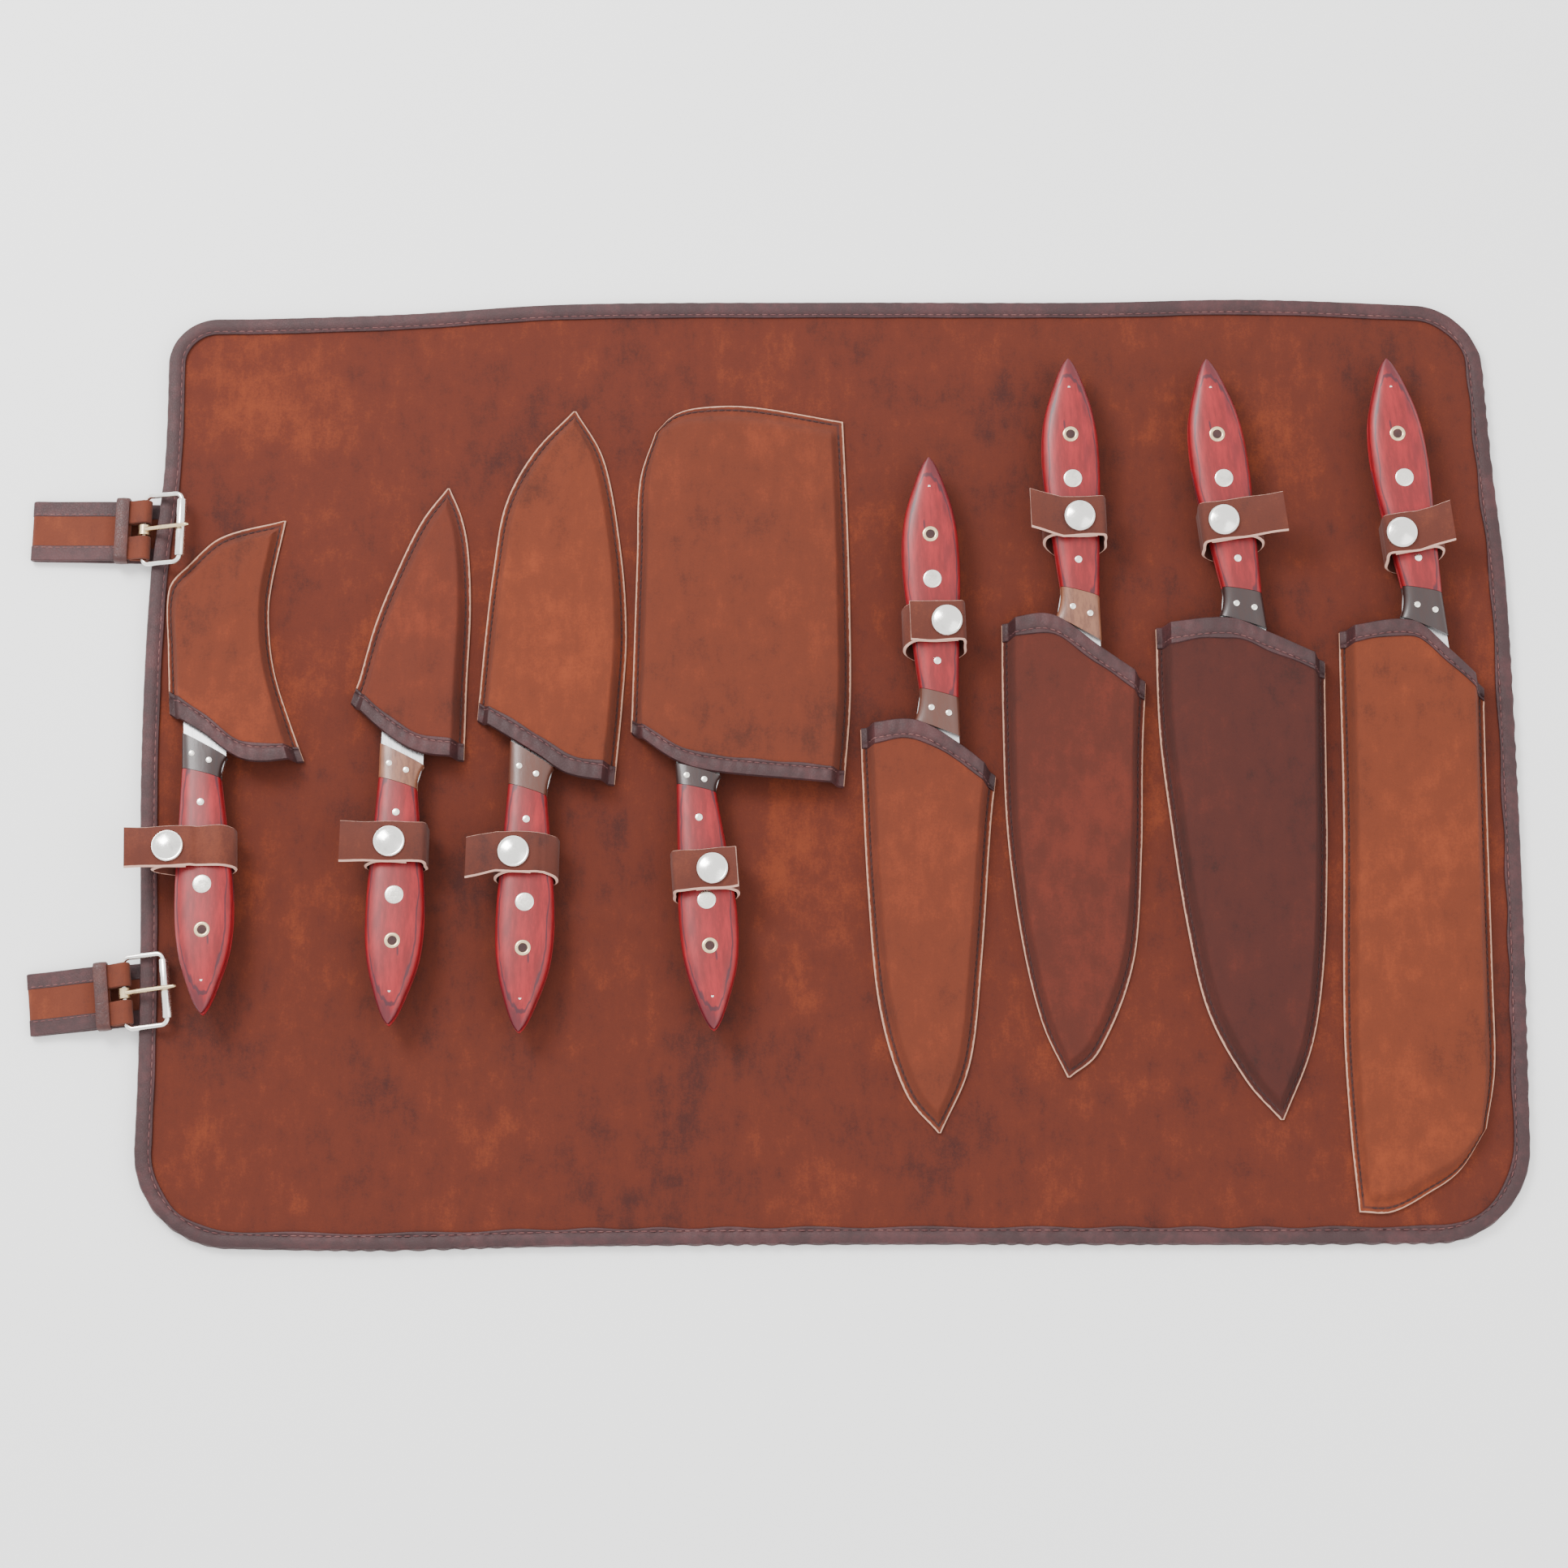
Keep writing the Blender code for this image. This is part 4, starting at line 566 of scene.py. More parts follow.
@dataclass(frozen=True)
class Laminate(Finish):
    """Dyed layered wood: layers through the thickness show as contour lines where the grip is rounded."""

    line: tuple = (0.030, 0.0016, 0.0090)
    pale: tuple = (0.290, 0.0030, 0.0080)
    layers: float = 780.0

    def make(self) -> bpy.types.Material:
        """Build the layers from the knife's own coordinates."""
        made, n, shader = self.start()
        at = n.add("ShaderNodeAttribute", attribute_name="knife").outputs["Vector"]
        long = n.add("ShaderNodeMapping", {"Vector": at, "Scale": (0.22, 1.0, 1.0)}).outputs["Vector"]
        wander = n.sum("MULTIPLY", n.sum("SUBTRACT", n.noise(long, 95.0, 3.0), 0.5), 0.0042)
        height = n.add("ShaderNodeSeparateXYZ", {0: at}).outputs[2]
        level = n.sum("ADD", n.sum("ABSOLUTE", height, 0.0), wander)
        wave = n.sum("SINE", n.sum("MULTIPLY", level, self.layers * math.pi), 0.0)
        lines = n.span(wave, 0.80, 0.97)
        tone = n.span(n.noise(long, 210.0, 5.0, 0.7), 0.35, 0.7)
        colour = n.blend(tone, self.colour, self.pale)
        streaks = n.span(n.noise(long, 60.0, 2.0), 0.60, 0.72)
        colour = n.blend(n.sum("MULTIPLY", streaks, 0.55), colour, self.line)
        colour = n.blend(n.sum("MULTIPLY", lines, 0.8), colour, self.line)
        n.tree.links.new(colour, shader.inputs["Base Color"])
        self.bump(n, shader, n.noise(long, 700.0, 3.0), 0.12, 0.0002)
        return made


@dataclass(frozen=True)
class Grainwood(Finish):
    """Plain close-grained wood with streaks along the knife."""

    streak: tuple = (0.02, 0.01, 0.01)

    def make(self) -> bpy.types.Material:
        """Build the streaks from the knife's own coordinates."""
        made, n, shader = self.start()
        at = n.add("ShaderNodeAttribute", attribute_name="knife").outputs["Vector"]
        long = n.add("ShaderNodeMapping", {"Vector": at, "Scale": (0.25, 1.0, 1.0)}).outputs["Vector"]
        mask = n.span(n.noise(long, 420.0, 5.0, 0.7), 0.38, 0.68)
        n.tree.links.new(n.blend(mask, self.colour, self.streak), shader.inputs["Base Color"])
        self.bump(n, shader, mask, 0.15, 0.0002)
        return made


@dataclass(frozen=True)
class Metal(Finish):
    """Plated or ground metal with fine rubbing marks in its gloss, and a darker tarnish in patches."""

    tarnish: tuple = (0.42, 0.40, 0.37)
    stretch: tuple = (1.0, 1.0, 1.0)

    def make(self) -> bpy.types.Material:
        """Build the rubbing marks."""
        made, n, shader = self.start()
        at = n.add("ShaderNodeTexCoord").outputs["Object"]
        long = n.add("ShaderNodeMapping", {"Vector": at, "Scale": self.stretch}).outputs["Vector"]
        rub = n.noise(long, 1400.0, 4.0, 0.7)
        patch = n.span(n.noise(at, 160.0, 3.0), 0.52, 0.75)
        n.tree.links.new(n.blend(n.sum("MULTIPLY", patch, 0.4), self.colour, self.tarnish),
                         shader.inputs["Base Color"])
        n.tree.links.new(n.span(rub, 0.3, 0.7, self.roughness * 0.7, self.roughness * 1.5),
                         shader.inputs["Roughness"])
        self.bump(n, shader, rub, 0.08, 0.0001)
        return made


class Palette:
    """Every material of the roll, made once."""

    def __init__(self) -> None:
        """Make the shared groups and the materials."""
        nap, grain = nap_group(), grain_group()
        self.panel = Suede("suede_panel", (0.078, 0.0098, 0.0016), 0.95,
                           dark=(0.036, 0.0040, 0.0012), light=(0.140, 0.0220, 0.0036)).make(nap)
        tones = ((0.104, 0.0165, 0.0036), (0.092, 0.0135, 0.0034), (0.116, 0.0190, 0.0040),
                 (0.098, 0.0155, 0.0034), (0.108, 0.0175, 0.0042), (0.064, 0.0085, 0.0030),
                 (0.047, 0.0062, 0.0028), (0.118, 0.0200, 0.0042))
        # groove=True paints shade into each pocket's seam groove
        self.pocket = [Suede(f"suede_pocket_{i}", tone, 0.95, edged=True, groove=True,
                             dark=tuple(c * 0.5 for c in tone), light=tuple(c * 1.55 for c in tone)).make(nap)
                       for i, tone in enumerate(tones, 1)]
        self.keeper = Suede("suede_keeper", (0.078, 0.0125, 0.0045), 0.88, sheen=0.04, edged=True,
                            dark=(0.040, 0.0065, 0.0030), light=(0.125, 0.0240, 0.0080),
                            edge=(0.62, 0.36, 0.28)).make(nap)
        self.binding = Hide("plum_binding", (0.026, 0.0050, 0.0062), 0.62,
                            worn=(0.054, 0.0115, 0.0130)).make(grain)
        self.strap = Suede("suede_strap", (0.108, 0.0185, 0.0045), 0.9, sheen=0.04,
                           dark=(0.058, 0.0090, 0.0030),
                           light=(0.165, 0.0320, 0.0080)).make(nap)
        self.loop = Hide("loop_leather", (0.038, 0.0075, 0.0065), 0.5, worn=(0.075, 0.016, 0.011)).make(grain)
        self.thread = Hide("dark_thread", (0.030, 0.010, 0.010), 0.8, worn=(0.06, 0.02, 0.018)).make(grain)
        self.pale_thread = Hide("plum_thread", (0.10, 0.035, 0.036), 0.8,
                                worn=(0.17, 0.07, 0.065)).make(grain)
        self.red = Laminate("red_laminate", (0.150, 0.0010, 0.0030), 0.42, coat=0.05).make()
        self.bolster = {
            "dark": Grainwood("bolster_dark", (0.026, 0.0085, 0.0070), 0.38, coat=0.2).make(),
            "brown": Grainwood("bolster_brown", (0.085, 0.024, 0.013), 0.38, coat=0.2,
                               streak=(0.08, 0.03, 0.02)).make(),
            "tan": Grainwood("bolster_tan", (0.205, 0.078, 0.040), 0.4, coat=0.2,
                             streak=(0.115, 0.038, 0.020)).make()}
        self.nickel = Metal("nickel", (0.86, 0.84, 0.80), 0.20, 1.0).make()
        self.pin = Metal("pin_alloy", (0.90, 0.86, 0.78), 0.26, 1.0).make()
        self.brass = Metal("eyelet_brass", (0.72, 0.56, 0.34), 0.28, 1.0, tarnish=(0.35, 0.24, 0.13)).make()
        self.steel = Metal("ground_steel", (0.70, 0.70, 0.71), 0.30, 1.0, stretch=(1.0, 0.06, 1.0)).make()


@dataclass
class Layout:
    """Where the pockets, knives and panel edges lie, worked out from the stations."""

    left_margin: float = 0.0097
    right_margin: float = 0.0143
    top_margin: float = 0.0276
    bottom_margin: float = 0.0155
    edge_wave: float = 0.010
    edge_lift: float = 0.0030
    lift_reach: float = 0.045
    corner_r: tuple = (0.046, 0.046, 0.032, 0.024)

    def __post_init__(self) -> None:
        """Lay the stations side by side and fit the panel round them."""
        starts = self.left_margin + np.cumsum([s.gap for s in STATIONS])
        starts = starts + np.concatenate([[0.0], np.cumsum([s.width for s in STATIONS])[:-1]])
        self.width = starts[-1] + STATIONS[-1].width + self.right_margin
        tops, bottoms = [], []
        for s in STATIONS:
            mouth = (TIP_UP_Y if s.row is Row.UP else TIP_DOWN_Y) + s.rise
            reach = s.bolster + HANDLE_L + s.steel
            tops.append(mouth + (s.length if s.row is Row.UP else reach))
            bottoms.append(mouth - (reach if s.row is Row.UP else s.length))
        top = max(tops) + self.top_margin
        bottom = min(bottoms) - self.bottom_margin
        self.height = top - bottom
        self.shift_y = (top + bottom) / 2
        self.lefts = starts - self.width / 2

    def wave(self, side: str, share: Array) -> Array:
        """How far an edge bulges out at a share along it."""
        return self.edge_wave * hermite(EDGE_AT, np.array(EDGE_WAVES[side]), np.clip(share, -0.5, 0.5))

    def lift(self, x: Array) -> Array:
        """How far the panel's left edge rides up over the straps tucked under it."""
        knee = -self.width / 2 + self.lift_reach
        return self.edge_lift * np.maximum(0.0, (knee - x) / self.lift_reach)

    def top(self, x: Array) -> Array:
        """The panel's upper face away from its folds."""
        return self.lift(x) + PANEL_T

    def folds(self, x: Array, y: Array) -> Array:
        """Height of the folds and soft waves in the lying suede: ridges are bells across their lines."""
        u, v = x / self.width, y / self.height
        line = hermite(np.array([-0.5, -0.27, -0.14, -0.03, 0.10, 0.20, 0.5]),
                       np.array([-0.12, -0.145, -0.165, -0.19, -0.215, -0.245, -0.30]), np.clip(u, -0.5, 0.5))
        gap = (v - line) * self.height
        strength = ease(u, -0.34, -0.27) * (1 - ease(u, 0.16, 0.30)) * (1 - 0.6 * ease(u, 0.0, 0.03))
        ridge = 0.0016 * strength * np.exp(-(np.where(gap > 0, gap / 0.0030, gap / 0.0070)) ** 2)
        low = (v + 0.365 + 0.10 * (u - 0.05)) * self.height
        second = 0.0005 * np.exp(-((u - 0.06) / 0.10) ** 2 - (low / 0.006) ** 2)
        third = (v - 0.19 - 0.25 * (u - 0.46)) * self.height
        right = 0.0007 * ease(u, 0.41, 0.45) * np.exp(-((third / 0.004) ** 2))
        inside = (1 - ease(np.abs(u), 0.42, 0.47)) * (1 - ease(np.abs(v), 0.40, 0.46))
        waves = 0.00018 * (1 + ripple(x, y, 42.0)) * inside
        return ridge + second + right + waves

    def rim(self, count: int) -> Array:
        """The panel's outline, anticlockwise: a rounded rectangle whose edges bulge by their waves."""
        w, h = self.width / 2, self.height / 2
        centres = [(-1, -1, 180), (1, -1, 270), (1, 1, 0), (-1, 1, 90)]
        pts = []
        for (sx, sy, start), r in zip(centres, self.corner_r):
            a = np.radians(np.linspace(start, start + 90, 24))
            pts.append(np.stack([sx * (w - r) + r * np.cos(a), sy * (h - r) + r * np.sin(a)], 1))
        loop = np.vstack(pts + [pts[0][:1]])
        runs = np.concatenate([[0.0], np.cumsum(np.linalg.norm(np.diff(loop, axis=0), axis=1))])
        at = np.linspace(0, runs[-1], count, endpoint=False)
        x, y = np.interp(at, runs, loop[:, 0]), np.interp(at, runs, loop[:, 1])
        u, v = x / self.width, y / self.height
        dx = np.where(x > 0, self.wave("right", v), -self.wave("left", v)) * np.abs(x) / w
        dy = np.where(y > 0, self.wave("top", u), -self.wave("bottom", u)) * np.abs(y) / h
        return np.stack([x + dx, y + dy], 1)


@dataclass
class Panel:
    """The suede sheet with its folds, and the plum binding folded and stitched round its edge."""

    layout: Layout
    rings: int = 60
    around: int = 640
    binding_w: float = 0.0076
    seam_in: float = 0.0060

    def sheet(self) -> Shell:
        """Rings shrink from the outline to the middle; height is the layout's top plus its folds."""
        rim = self.layout.rim(self.around)
        middle, edge = 0.004, 0.9985
        shares = np.concatenate([np.linspace(middle, edge, self.rings),
                                 np.linspace(edge, middle, self.rings // 2)])
        plan = rim[None] * shares[:, None, None]
        x, y = plan[..., 0], plan[..., 1]
        z = self.layout.lift(x) + self.layout.folds(x, y)
        z[: self.rings] += PANEL_T
        points = np.stack([x, y, z], -1).reshape(-1, 3)
        rows = len(shares)
        quads = grid_quads(rows, self.around, False, True)
        ends = np.array([[0, 0, points[: self.around, 2].mean()], [0, 0, points[-self.around:, 2].mean()]])
        ring = np.arange(self.around)
        after = np.roll(ring, -1)
        base = (rows - 1) * self.around
        n = len(points)
        tris = np.vstack([np.stack([np.full_like(ring, n), ring, after], 1),
                          np.stack([np.full_like(ring, n + 1), base + after, base + ring], 1)])
        return Shell(np.vstack([points, ends]), quads, tris)

    def binding_frame(self, count: int) -> tuple:
        """The outline in 3D with its outward direction and the distance run along it."""
        rim = self.layout.rim(count)
        ahead = unit(np.roll(rim, -1, 0) - np.roll(rim, 1, 0))
        out = np.stack([ahead[:, 1], -ahead[:, 0], np.zeros(count)], 1)
        path = np.column_stack([rim, self.layout.lift(rim[:, 0])])
        run = np.cumsum(np.linalg.norm(np.roll(rim, -1, 0) - rim, axis=1))
        return path, out, run

    def binding(self) -> Shell:
        """The folded strip carried round the outline, puckered most at the lower and right edges."""
        path, out, run = self.binding_frame(1500)
        w, t = self.binding_w, PANEL_T
        top = [(-w, t + .0003), (-w + .0002, t + .0009), (-w + .0009, t + .00115), (-w + .0018, t + .0006),
               (-w + .0028, t + .0011), (-.0032, t + .00145), (-.0012, t + .0013), (.0004, t + .0009),
               (.0011, t * .6)]
        low = [(.0012, t * .3), (.0009, -.0007), (.0002, -.0012), (-w + .0002, -.0012), (-w, -.0009)]
        inside = [(-w + .0002, -.0003), (.0003, -.0003), (.0003, t + .0003)]
        profile = np.array(top + low + inside)
        share_y = path[:, 1] / self.layout.height
        share_x = path[:, 0] / self.layout.width
        rough = 0.25 + ease(-share_y, 0.42, 0.49) + 0.8 * ease(share_x, 0.44, 0.49)
        beat = np.sin(run * 620 + 1.7 * np.sin(run * 97)) * (0.6 + 0.4 * np.sin(run * 41 + 1))
        slow = np.sin(run * 150 + 2 * np.sin(run * 23))
        profile = np.tile(profile, (len(path), 1, 1))
        profile[:, 3:8, 1] += (rough * (0.00022 * beat + 0.00012 * slow))[:, None]
        profile[:, 6:11, 0] += (rough * (0.00030 * beat - 0.0003))[:, None]
        profile[:, 0:3, 0] += (0.0004 * slow * rough)[:, None]
        up = np.tile([0.0, 0.0, 1.0], (len(path), 1))
        return carried(path, out, up, profile, True)

    def seam(self) -> Shell:
        """The binding's stitch line."""
        path, out, _ = self.binding_frame(900)
        line = path - out * self.seam_in + np.array([0, 0, PANEL_T + 0.00085])
        return stitches(line, 0.0042, 0.0031, 0.00032, True)

    def build(self, shop: "Workshop") -> None:
        """Make the sheet, its binding and its seam."""
        sheet = shop.add("panel_suede", self.sheet(), shop.palette.panel, "suede", "back_panel")
        binding = shop.add("panel_binding", self.binding(), shop.palette.binding, "binding", "edge_binding")
        seam = shop.add("panel_seam", self.seam(), shop.palette.pale_thread, "binding")
        size = (float(self.layout.width), float(self.layout.height))


class Knife:
    """One knife's frame: X from the bolster to the butt, Y towards the edge, Z up, in its pocket."""

    def __init__(self, layout: Layout, station: Station, left: float) -> None:
        """Set the pocket's outline on the panel and the knife in it, as low as the panel lets it lie."""
        self.layout, self.station = layout, station
        self.mouth, self.spine, self.edge, self.end = (np.array(c) for c in OUTLINES[station.shape])
        up = station.row is Row.UP
        self.sign = 1.0 if up else -1.0
        row_y = TIP_UP_Y if up else TIP_DOWN_Y
        self.datum = np.array([left if up else left + station.width, row_y + station.rise - layout.shift_y])
        self.turn = math.radians((-90 if up else 90) + station.lean)
        self.fore = np.array([math.cos(self.turn), math.sin(self.turn)])
        self.across = np.array([-self.fore[1], self.fore[0]])
        self.neck = self.neck_point()
        self.keeper_u = station.keeper_at * HANDLE_L
        near = station.keeper_at + np.array([-1, 1]) * 0.010 / HANDLE_L
        self.keeper_half_t = HANDLE_HALF_T * np.interp(near, SECTION_AT, SECTION_THICK).max()
        half = HANDLE_HALF_W * np.interp(station.keeper_at, SECTION_AT, SECTION_WIDTH)
        sway = HANDLE_HALF_W * np.interp(station.keeper_at, SECTION_AT, SECTION_SWAY)
        spots = self.neck + self.fore * self.keeper_u + self.across * (sway + np.array([[-half], [half]]))
        rest = layout.top(spots[:, 0]).max()
        self.keeper_z = rest + 2 * GAP + KEEPER_T + 0.0005 + 0.0007 + self.keeper_half_t
        length = station.length
        first, inner = 0.0084 / length, 1 - 0.012 / length
        rows = np.concatenate([[0.003 / length], first + (inner - first) * np.arange(5) / 4])
        inset = np.minimum(0.0072 / self.row_width(rows), 0.46)
        points = np.vstack([self.patch(rows, inset), self.patch(rows, 1 - inset)])
        u = (points - self.neck) @ self.fore
        under = layout.top(points[:, 0]) + 2 * GAP + TANG_T / 2
        self.slope = ((self.keeper_z - under) / (self.keeper_u - u)).min()
        neck_z = self.keeper_z - self.slope * self.keeper_u
        flat = Matrix.Rotation(self.turn, 4, "Z") @ Matrix.Rotation(-math.atan(self.slope), 4, "Y")
        self.matrix = Matrix.Translation((self.neck[0], self.neck[1], neck_z)) @ flat

    def patch(self, s: Array, t: Array) -> Array:
        """Plan point s of the way from mouth to end and t across: a Coons patch between the four sides."""
        s, t = np.broadcast_arrays(np.asarray(s, float), np.asarray(t, float))
        m, e, a, b = along(self.mouth, t), along(self.end, t), along(self.spine, s), along(self.edge, s)
        s, t = s[..., None], t[..., None]
        corners = self.mouth[0] * (1 - s) * (1 - t) + self.mouth[-1] * (1 - s) * t
        corners = corners + self.end[0] * s * (1 - t) + self.end[-1] * s * t
        share = m * (1 - s) + e * s + a * (1 - t) + b * t - corners
        return self.datum + self.sign * share * np.array([self.station.width, self.station.length])

    def row_width(self, s: Array) -> Array:
        """The pocket's width at s."""
        return np.linalg.norm(self.patch(s, 1.0) - self.patch(s, 0.0), axis=-1)

    def neck_point(self) -> Array:
        """Plan place of the knife's origin, with the bolster just clear of the mouth."""
        st = self.station
        start = self.patch(0.0, st.handle_at)
        offset = self.patch(0.0, np.linspace(0, 1, 61)) - start
        u, v = offset @ self.fore, offset @ self.across
        half = HANDLE_HALF_W * 0.67
        low, high = -half, half * 1.32
        keep = (v >= low - 0.0008) & (v <= high + 0.0008)
        need = u - (-st.bolster + st.heel_skew * np.clip(v, low, high))
        return start + self.fore * (need[keep].max() + 0.0008 + st.steel)

    def blade_top(self, plan: Array) -> Array:
        """Height of the blade's upper plane over plan points."""
        u = (plan - self.neck) @ self.fore
        return self.keeper_z + self.slope * (u - self.keeper_u) + TANG_T / 2


@dataclass
class Pocket:
    """A pocket's leather over its blade, its bound mouth and its seam."""

    knife: Knife
    number: int
    mouth_w: float = 0.0080
    seam_in: float = 0.0026

    def height(self, plan: Array, side: Array, end: Array, mouth: Array) -> Array:
        """Underside height: the panel, eased up to the blade's top between the shoulders, with soft waves."""
        k = self.knife
        floor = k.layout.top(plan[..., 0]) + GAP + BINDING_T * (1 - ease(mouth, 0.0085, 0.013))
        share = ease(side, 0.0030, 0.0070) * ease(end, 0.0042, 0.0110)
        roof = k.blade_top(plan) + GAP + BINDING_T
        dome = 0.0010 * ease(side, 0.006, 0.03) + 0.00022 * (1 + ripple(plan[..., 0], plan[..., 1], 75.0))
        return floor + share * (np.maximum(roof + dome, floor) - floor)

    def across(self, s: Array) -> tuple:
        """Shares across each row and their distance from the nearer side: close at the rim, even between."""
        width = self.knife.row_width(s)
        half = width / 2
        rim = np.array([0, .0003, .0007, .0011, .0015, .0021, .0026,
                        .0031, .0037, .0044, .0051, .0058, .0065, .0073])
        k = np.minimum(1.0, half / 0.0085)
        inner = np.linspace(0, 1, 11)[1:]
        left = np.concatenate([rim[None] * k[:, None],
                               .0073 * k[:, None] + (half - .0073 * k)[:, None] * inner[None]], 1)
        full = np.concatenate([left, (width[:, None] - left)[:, -2::-1]], 1)
        side = np.minimum(full, width[:, None] - full)
        return full / np.maximum(width[:, None], 1e-9), side

    def leather(self) -> Shell:
        """The closed skin between outer face and underside, with its distance from the cut edge in mm."""
        length = self.knife.station.length
        tail = np.array([.0125, .0105, .009, .0075, .0062, .005, .0042,
                         .0035, .0028, .0021, .0014, .0008, .0004, 0])
        head = np.array([0, .0006, .002, .004, .006, .008, .0086, .0095, .011, .013])
        rows = np.concatenate([head, np.linspace(.016, length - .015, 52), length - tail])
        s = rows / length
        t, side = self.across(s)
        plan = self.knife.patch(s[:, None] + 0 * t, t)
        end = np.broadcast_to((length - rows)[:, None], side.shape)
        mouth = np.broadcast_to(rows[:, None], side.shape)
        low = self.height(plan, side, end, mouth)
        rim = np.minimum(side, end)
        groove = 0.0004 * np.exp(-(((rim - .0026) / .0006) ** 2))
        top = low + POCKET_T - 0.00055 * (1 - ease(rim, 0.0, 0.0012)) - groove
        n, m = side.shape
        points = np.concatenate([np.dstack([plan, z]).reshape(-1, 3) for z in (top, low)])
        face = grid_quads(n, m, False, False)
        ring = np.concatenate([np.arange(m - 1), np.arange(n - 1) * m + m - 1,
                               (n - 1) * m + np.arange(m - 1, 0, -1), np.arange(n - 1, 0, -1) * m])
        after = np.roll(ring, -1)
        wall = np.stack([after, ring, ring + n * m, after + n * m], 1)
        cut = np.concatenate([rim.ravel(), rim.ravel() * 0 + 0.008]) * 1000
        return Shell(points, np.vstack([face, face[:, ::-1] + n * m, wall]), marks={"cut": cut})

    def point(self, s_m: Array, t: Array, off: Array) -> Array:
        """A place on the leather's mid face, s_m metres from the mouth, t across and off above it."""
        k = self.knife
        s = np.maximum(s_m, 0.0) / k.station.length
        plan = k.patch(s, t)
        out = unit(k.patch(0.0, t) - k.patch(0.02, t))
        plan = plan + out * np.maximum(-s_m, 0.0)[..., None]
        width = k.row_width(s.ravel()).reshape(s.shape)
        side = np.minimum(t, 1 - t) * width
        z = self.height(plan, side, np.full_like(side, 1.0), np.maximum(s_m, 0)) + POCKET_T / 2 + off
        return np.dstack([plan, z]) if plan.ndim == 3 else np.column_stack([plan, z])

    def mouth(self) -> Shell:
        """The strip folded over the lip: its section carried from side to side, with a soft pucker."""
        half = POCKET_T / 2
        w = self.mouth_w
        section = np.array([
            (w, half), (w - .0003, half + .0007), (w - .0012, half + .0009), (w - .0019, half + .0004),
            (w - .0027, half + .0009), (w * .5, half + .0011), (.0012, half + .00095), (-.0002, half + .0006),
            (-.0008, 0.0), (-.0003, -half - .0006), (.0012, -half - .0008), (w - .001, -half - .0008),
            (w - .0006, -half - .0002), (.0006, -half - .0001), (.0002, 0.0), (.0006, half + .0001)])
        t = np.linspace(0.004, 0.996, 96)
        run = t * self.knife.station.width
        pucker = 0.00022 * np.sin(run * 900 + 2 * np.sin(run * 150 + self.number))
        s_m = np.tile(section[:, 0], (len(t), 1))
        off = np.tile(section[:, 1], (len(t), 1))
        off[:, 4:7] += pucker[:, None]
        s_m[:, 0:2] += 0.0003 * np.sin(run * 260 + self.number)[:, None]
        pts = self.point(s_m, np.repeat(t[:, None], len(section), 1), off)
        n, m = s_m.shape
        points = np.vstack([pts.reshape(-1, 3), pts[0].mean(0), pts[-1].mean(0)])
        ring = np.arange(m)
        after = (ring + 1) % m
        tris = np.vstack([np.stack([np.full(m, n * m), after, ring], 1),
                          np.stack([np.full(m, n * m + 1), (n - 1) * m + ring, (n - 1) * m + after], 1)])
        return Shell(points, grid_quads(n, m, False, True), tris)

    def seam_line(self, flip: bool) -> Array:
        """The seam's points along one side, a fixed distance in from the cut edge."""
        k = self.knife
        s = np.linspace(self.mouth_w / k.station.length, 1 - 0.004 / k.station.length, 120)
        width = k.row_width(s)
        t = np.minimum(self.seam_in / width, 0.45)
        t = 1 - t if flip else t
        plan = k.patch(s, t)
        side = np.minimum(self.seam_in, width * 0.45)
        end = (1 - s) * k.station.length
        z = self.height(plan, side, end, s * k.station.length) + POCKET_T - 0.00015
        return np.column_stack([plan, z])

    def build(self, shop: "Workshop") -> None:
        """Make the leather, the bound mouth and the stitches."""
        n = self.number
        suede = shop.palette.pocket[n - 1]
        shop.add(f"pocket_leather_{n}", self.leather(), suede, "suede", f"pocket_{n}", sharp=50)
        shop.add(f"pocket_mouth_{n}", self.mouth(), shop.palette.binding, "binding")
        lines = [self.seam_line(False), self.seam_line(True)]
        end_mm = self.knife.row_width(np.array([0.985]))[0]
        if end_mm > 0.02:
            t = np.linspace(0.05, 0.95, 50)
            s = np.full_like(t, 1 - self.seam_in / self.knife.station.length)
            plan = self.knife.patch(s, t)
            lines.append(np.column_stack([plan, self.knife.layout.top(plan[:, 0]) + GAP + POCKET_T]))
        seam = join([stitches(line, 0.0034, 0.0026, 0.00030) for line in lines])
        shop.add(f"pocket_seam_{n}", seam, shop.palette.thread, "suede")
        across = np.linspace(.03, .97, 90)
        deep = np.full(90, self.mouth_w - .0019)
        inner = self.point(deep, across, np.full(90, POCKET_T / 2 + .0006))
        thread = stitches(inner, 0.0036, 0.0027, 0.0003)
        shop.add(f"mouth_seam_{n}", thread, shop.palette.pale_thread, "binding")


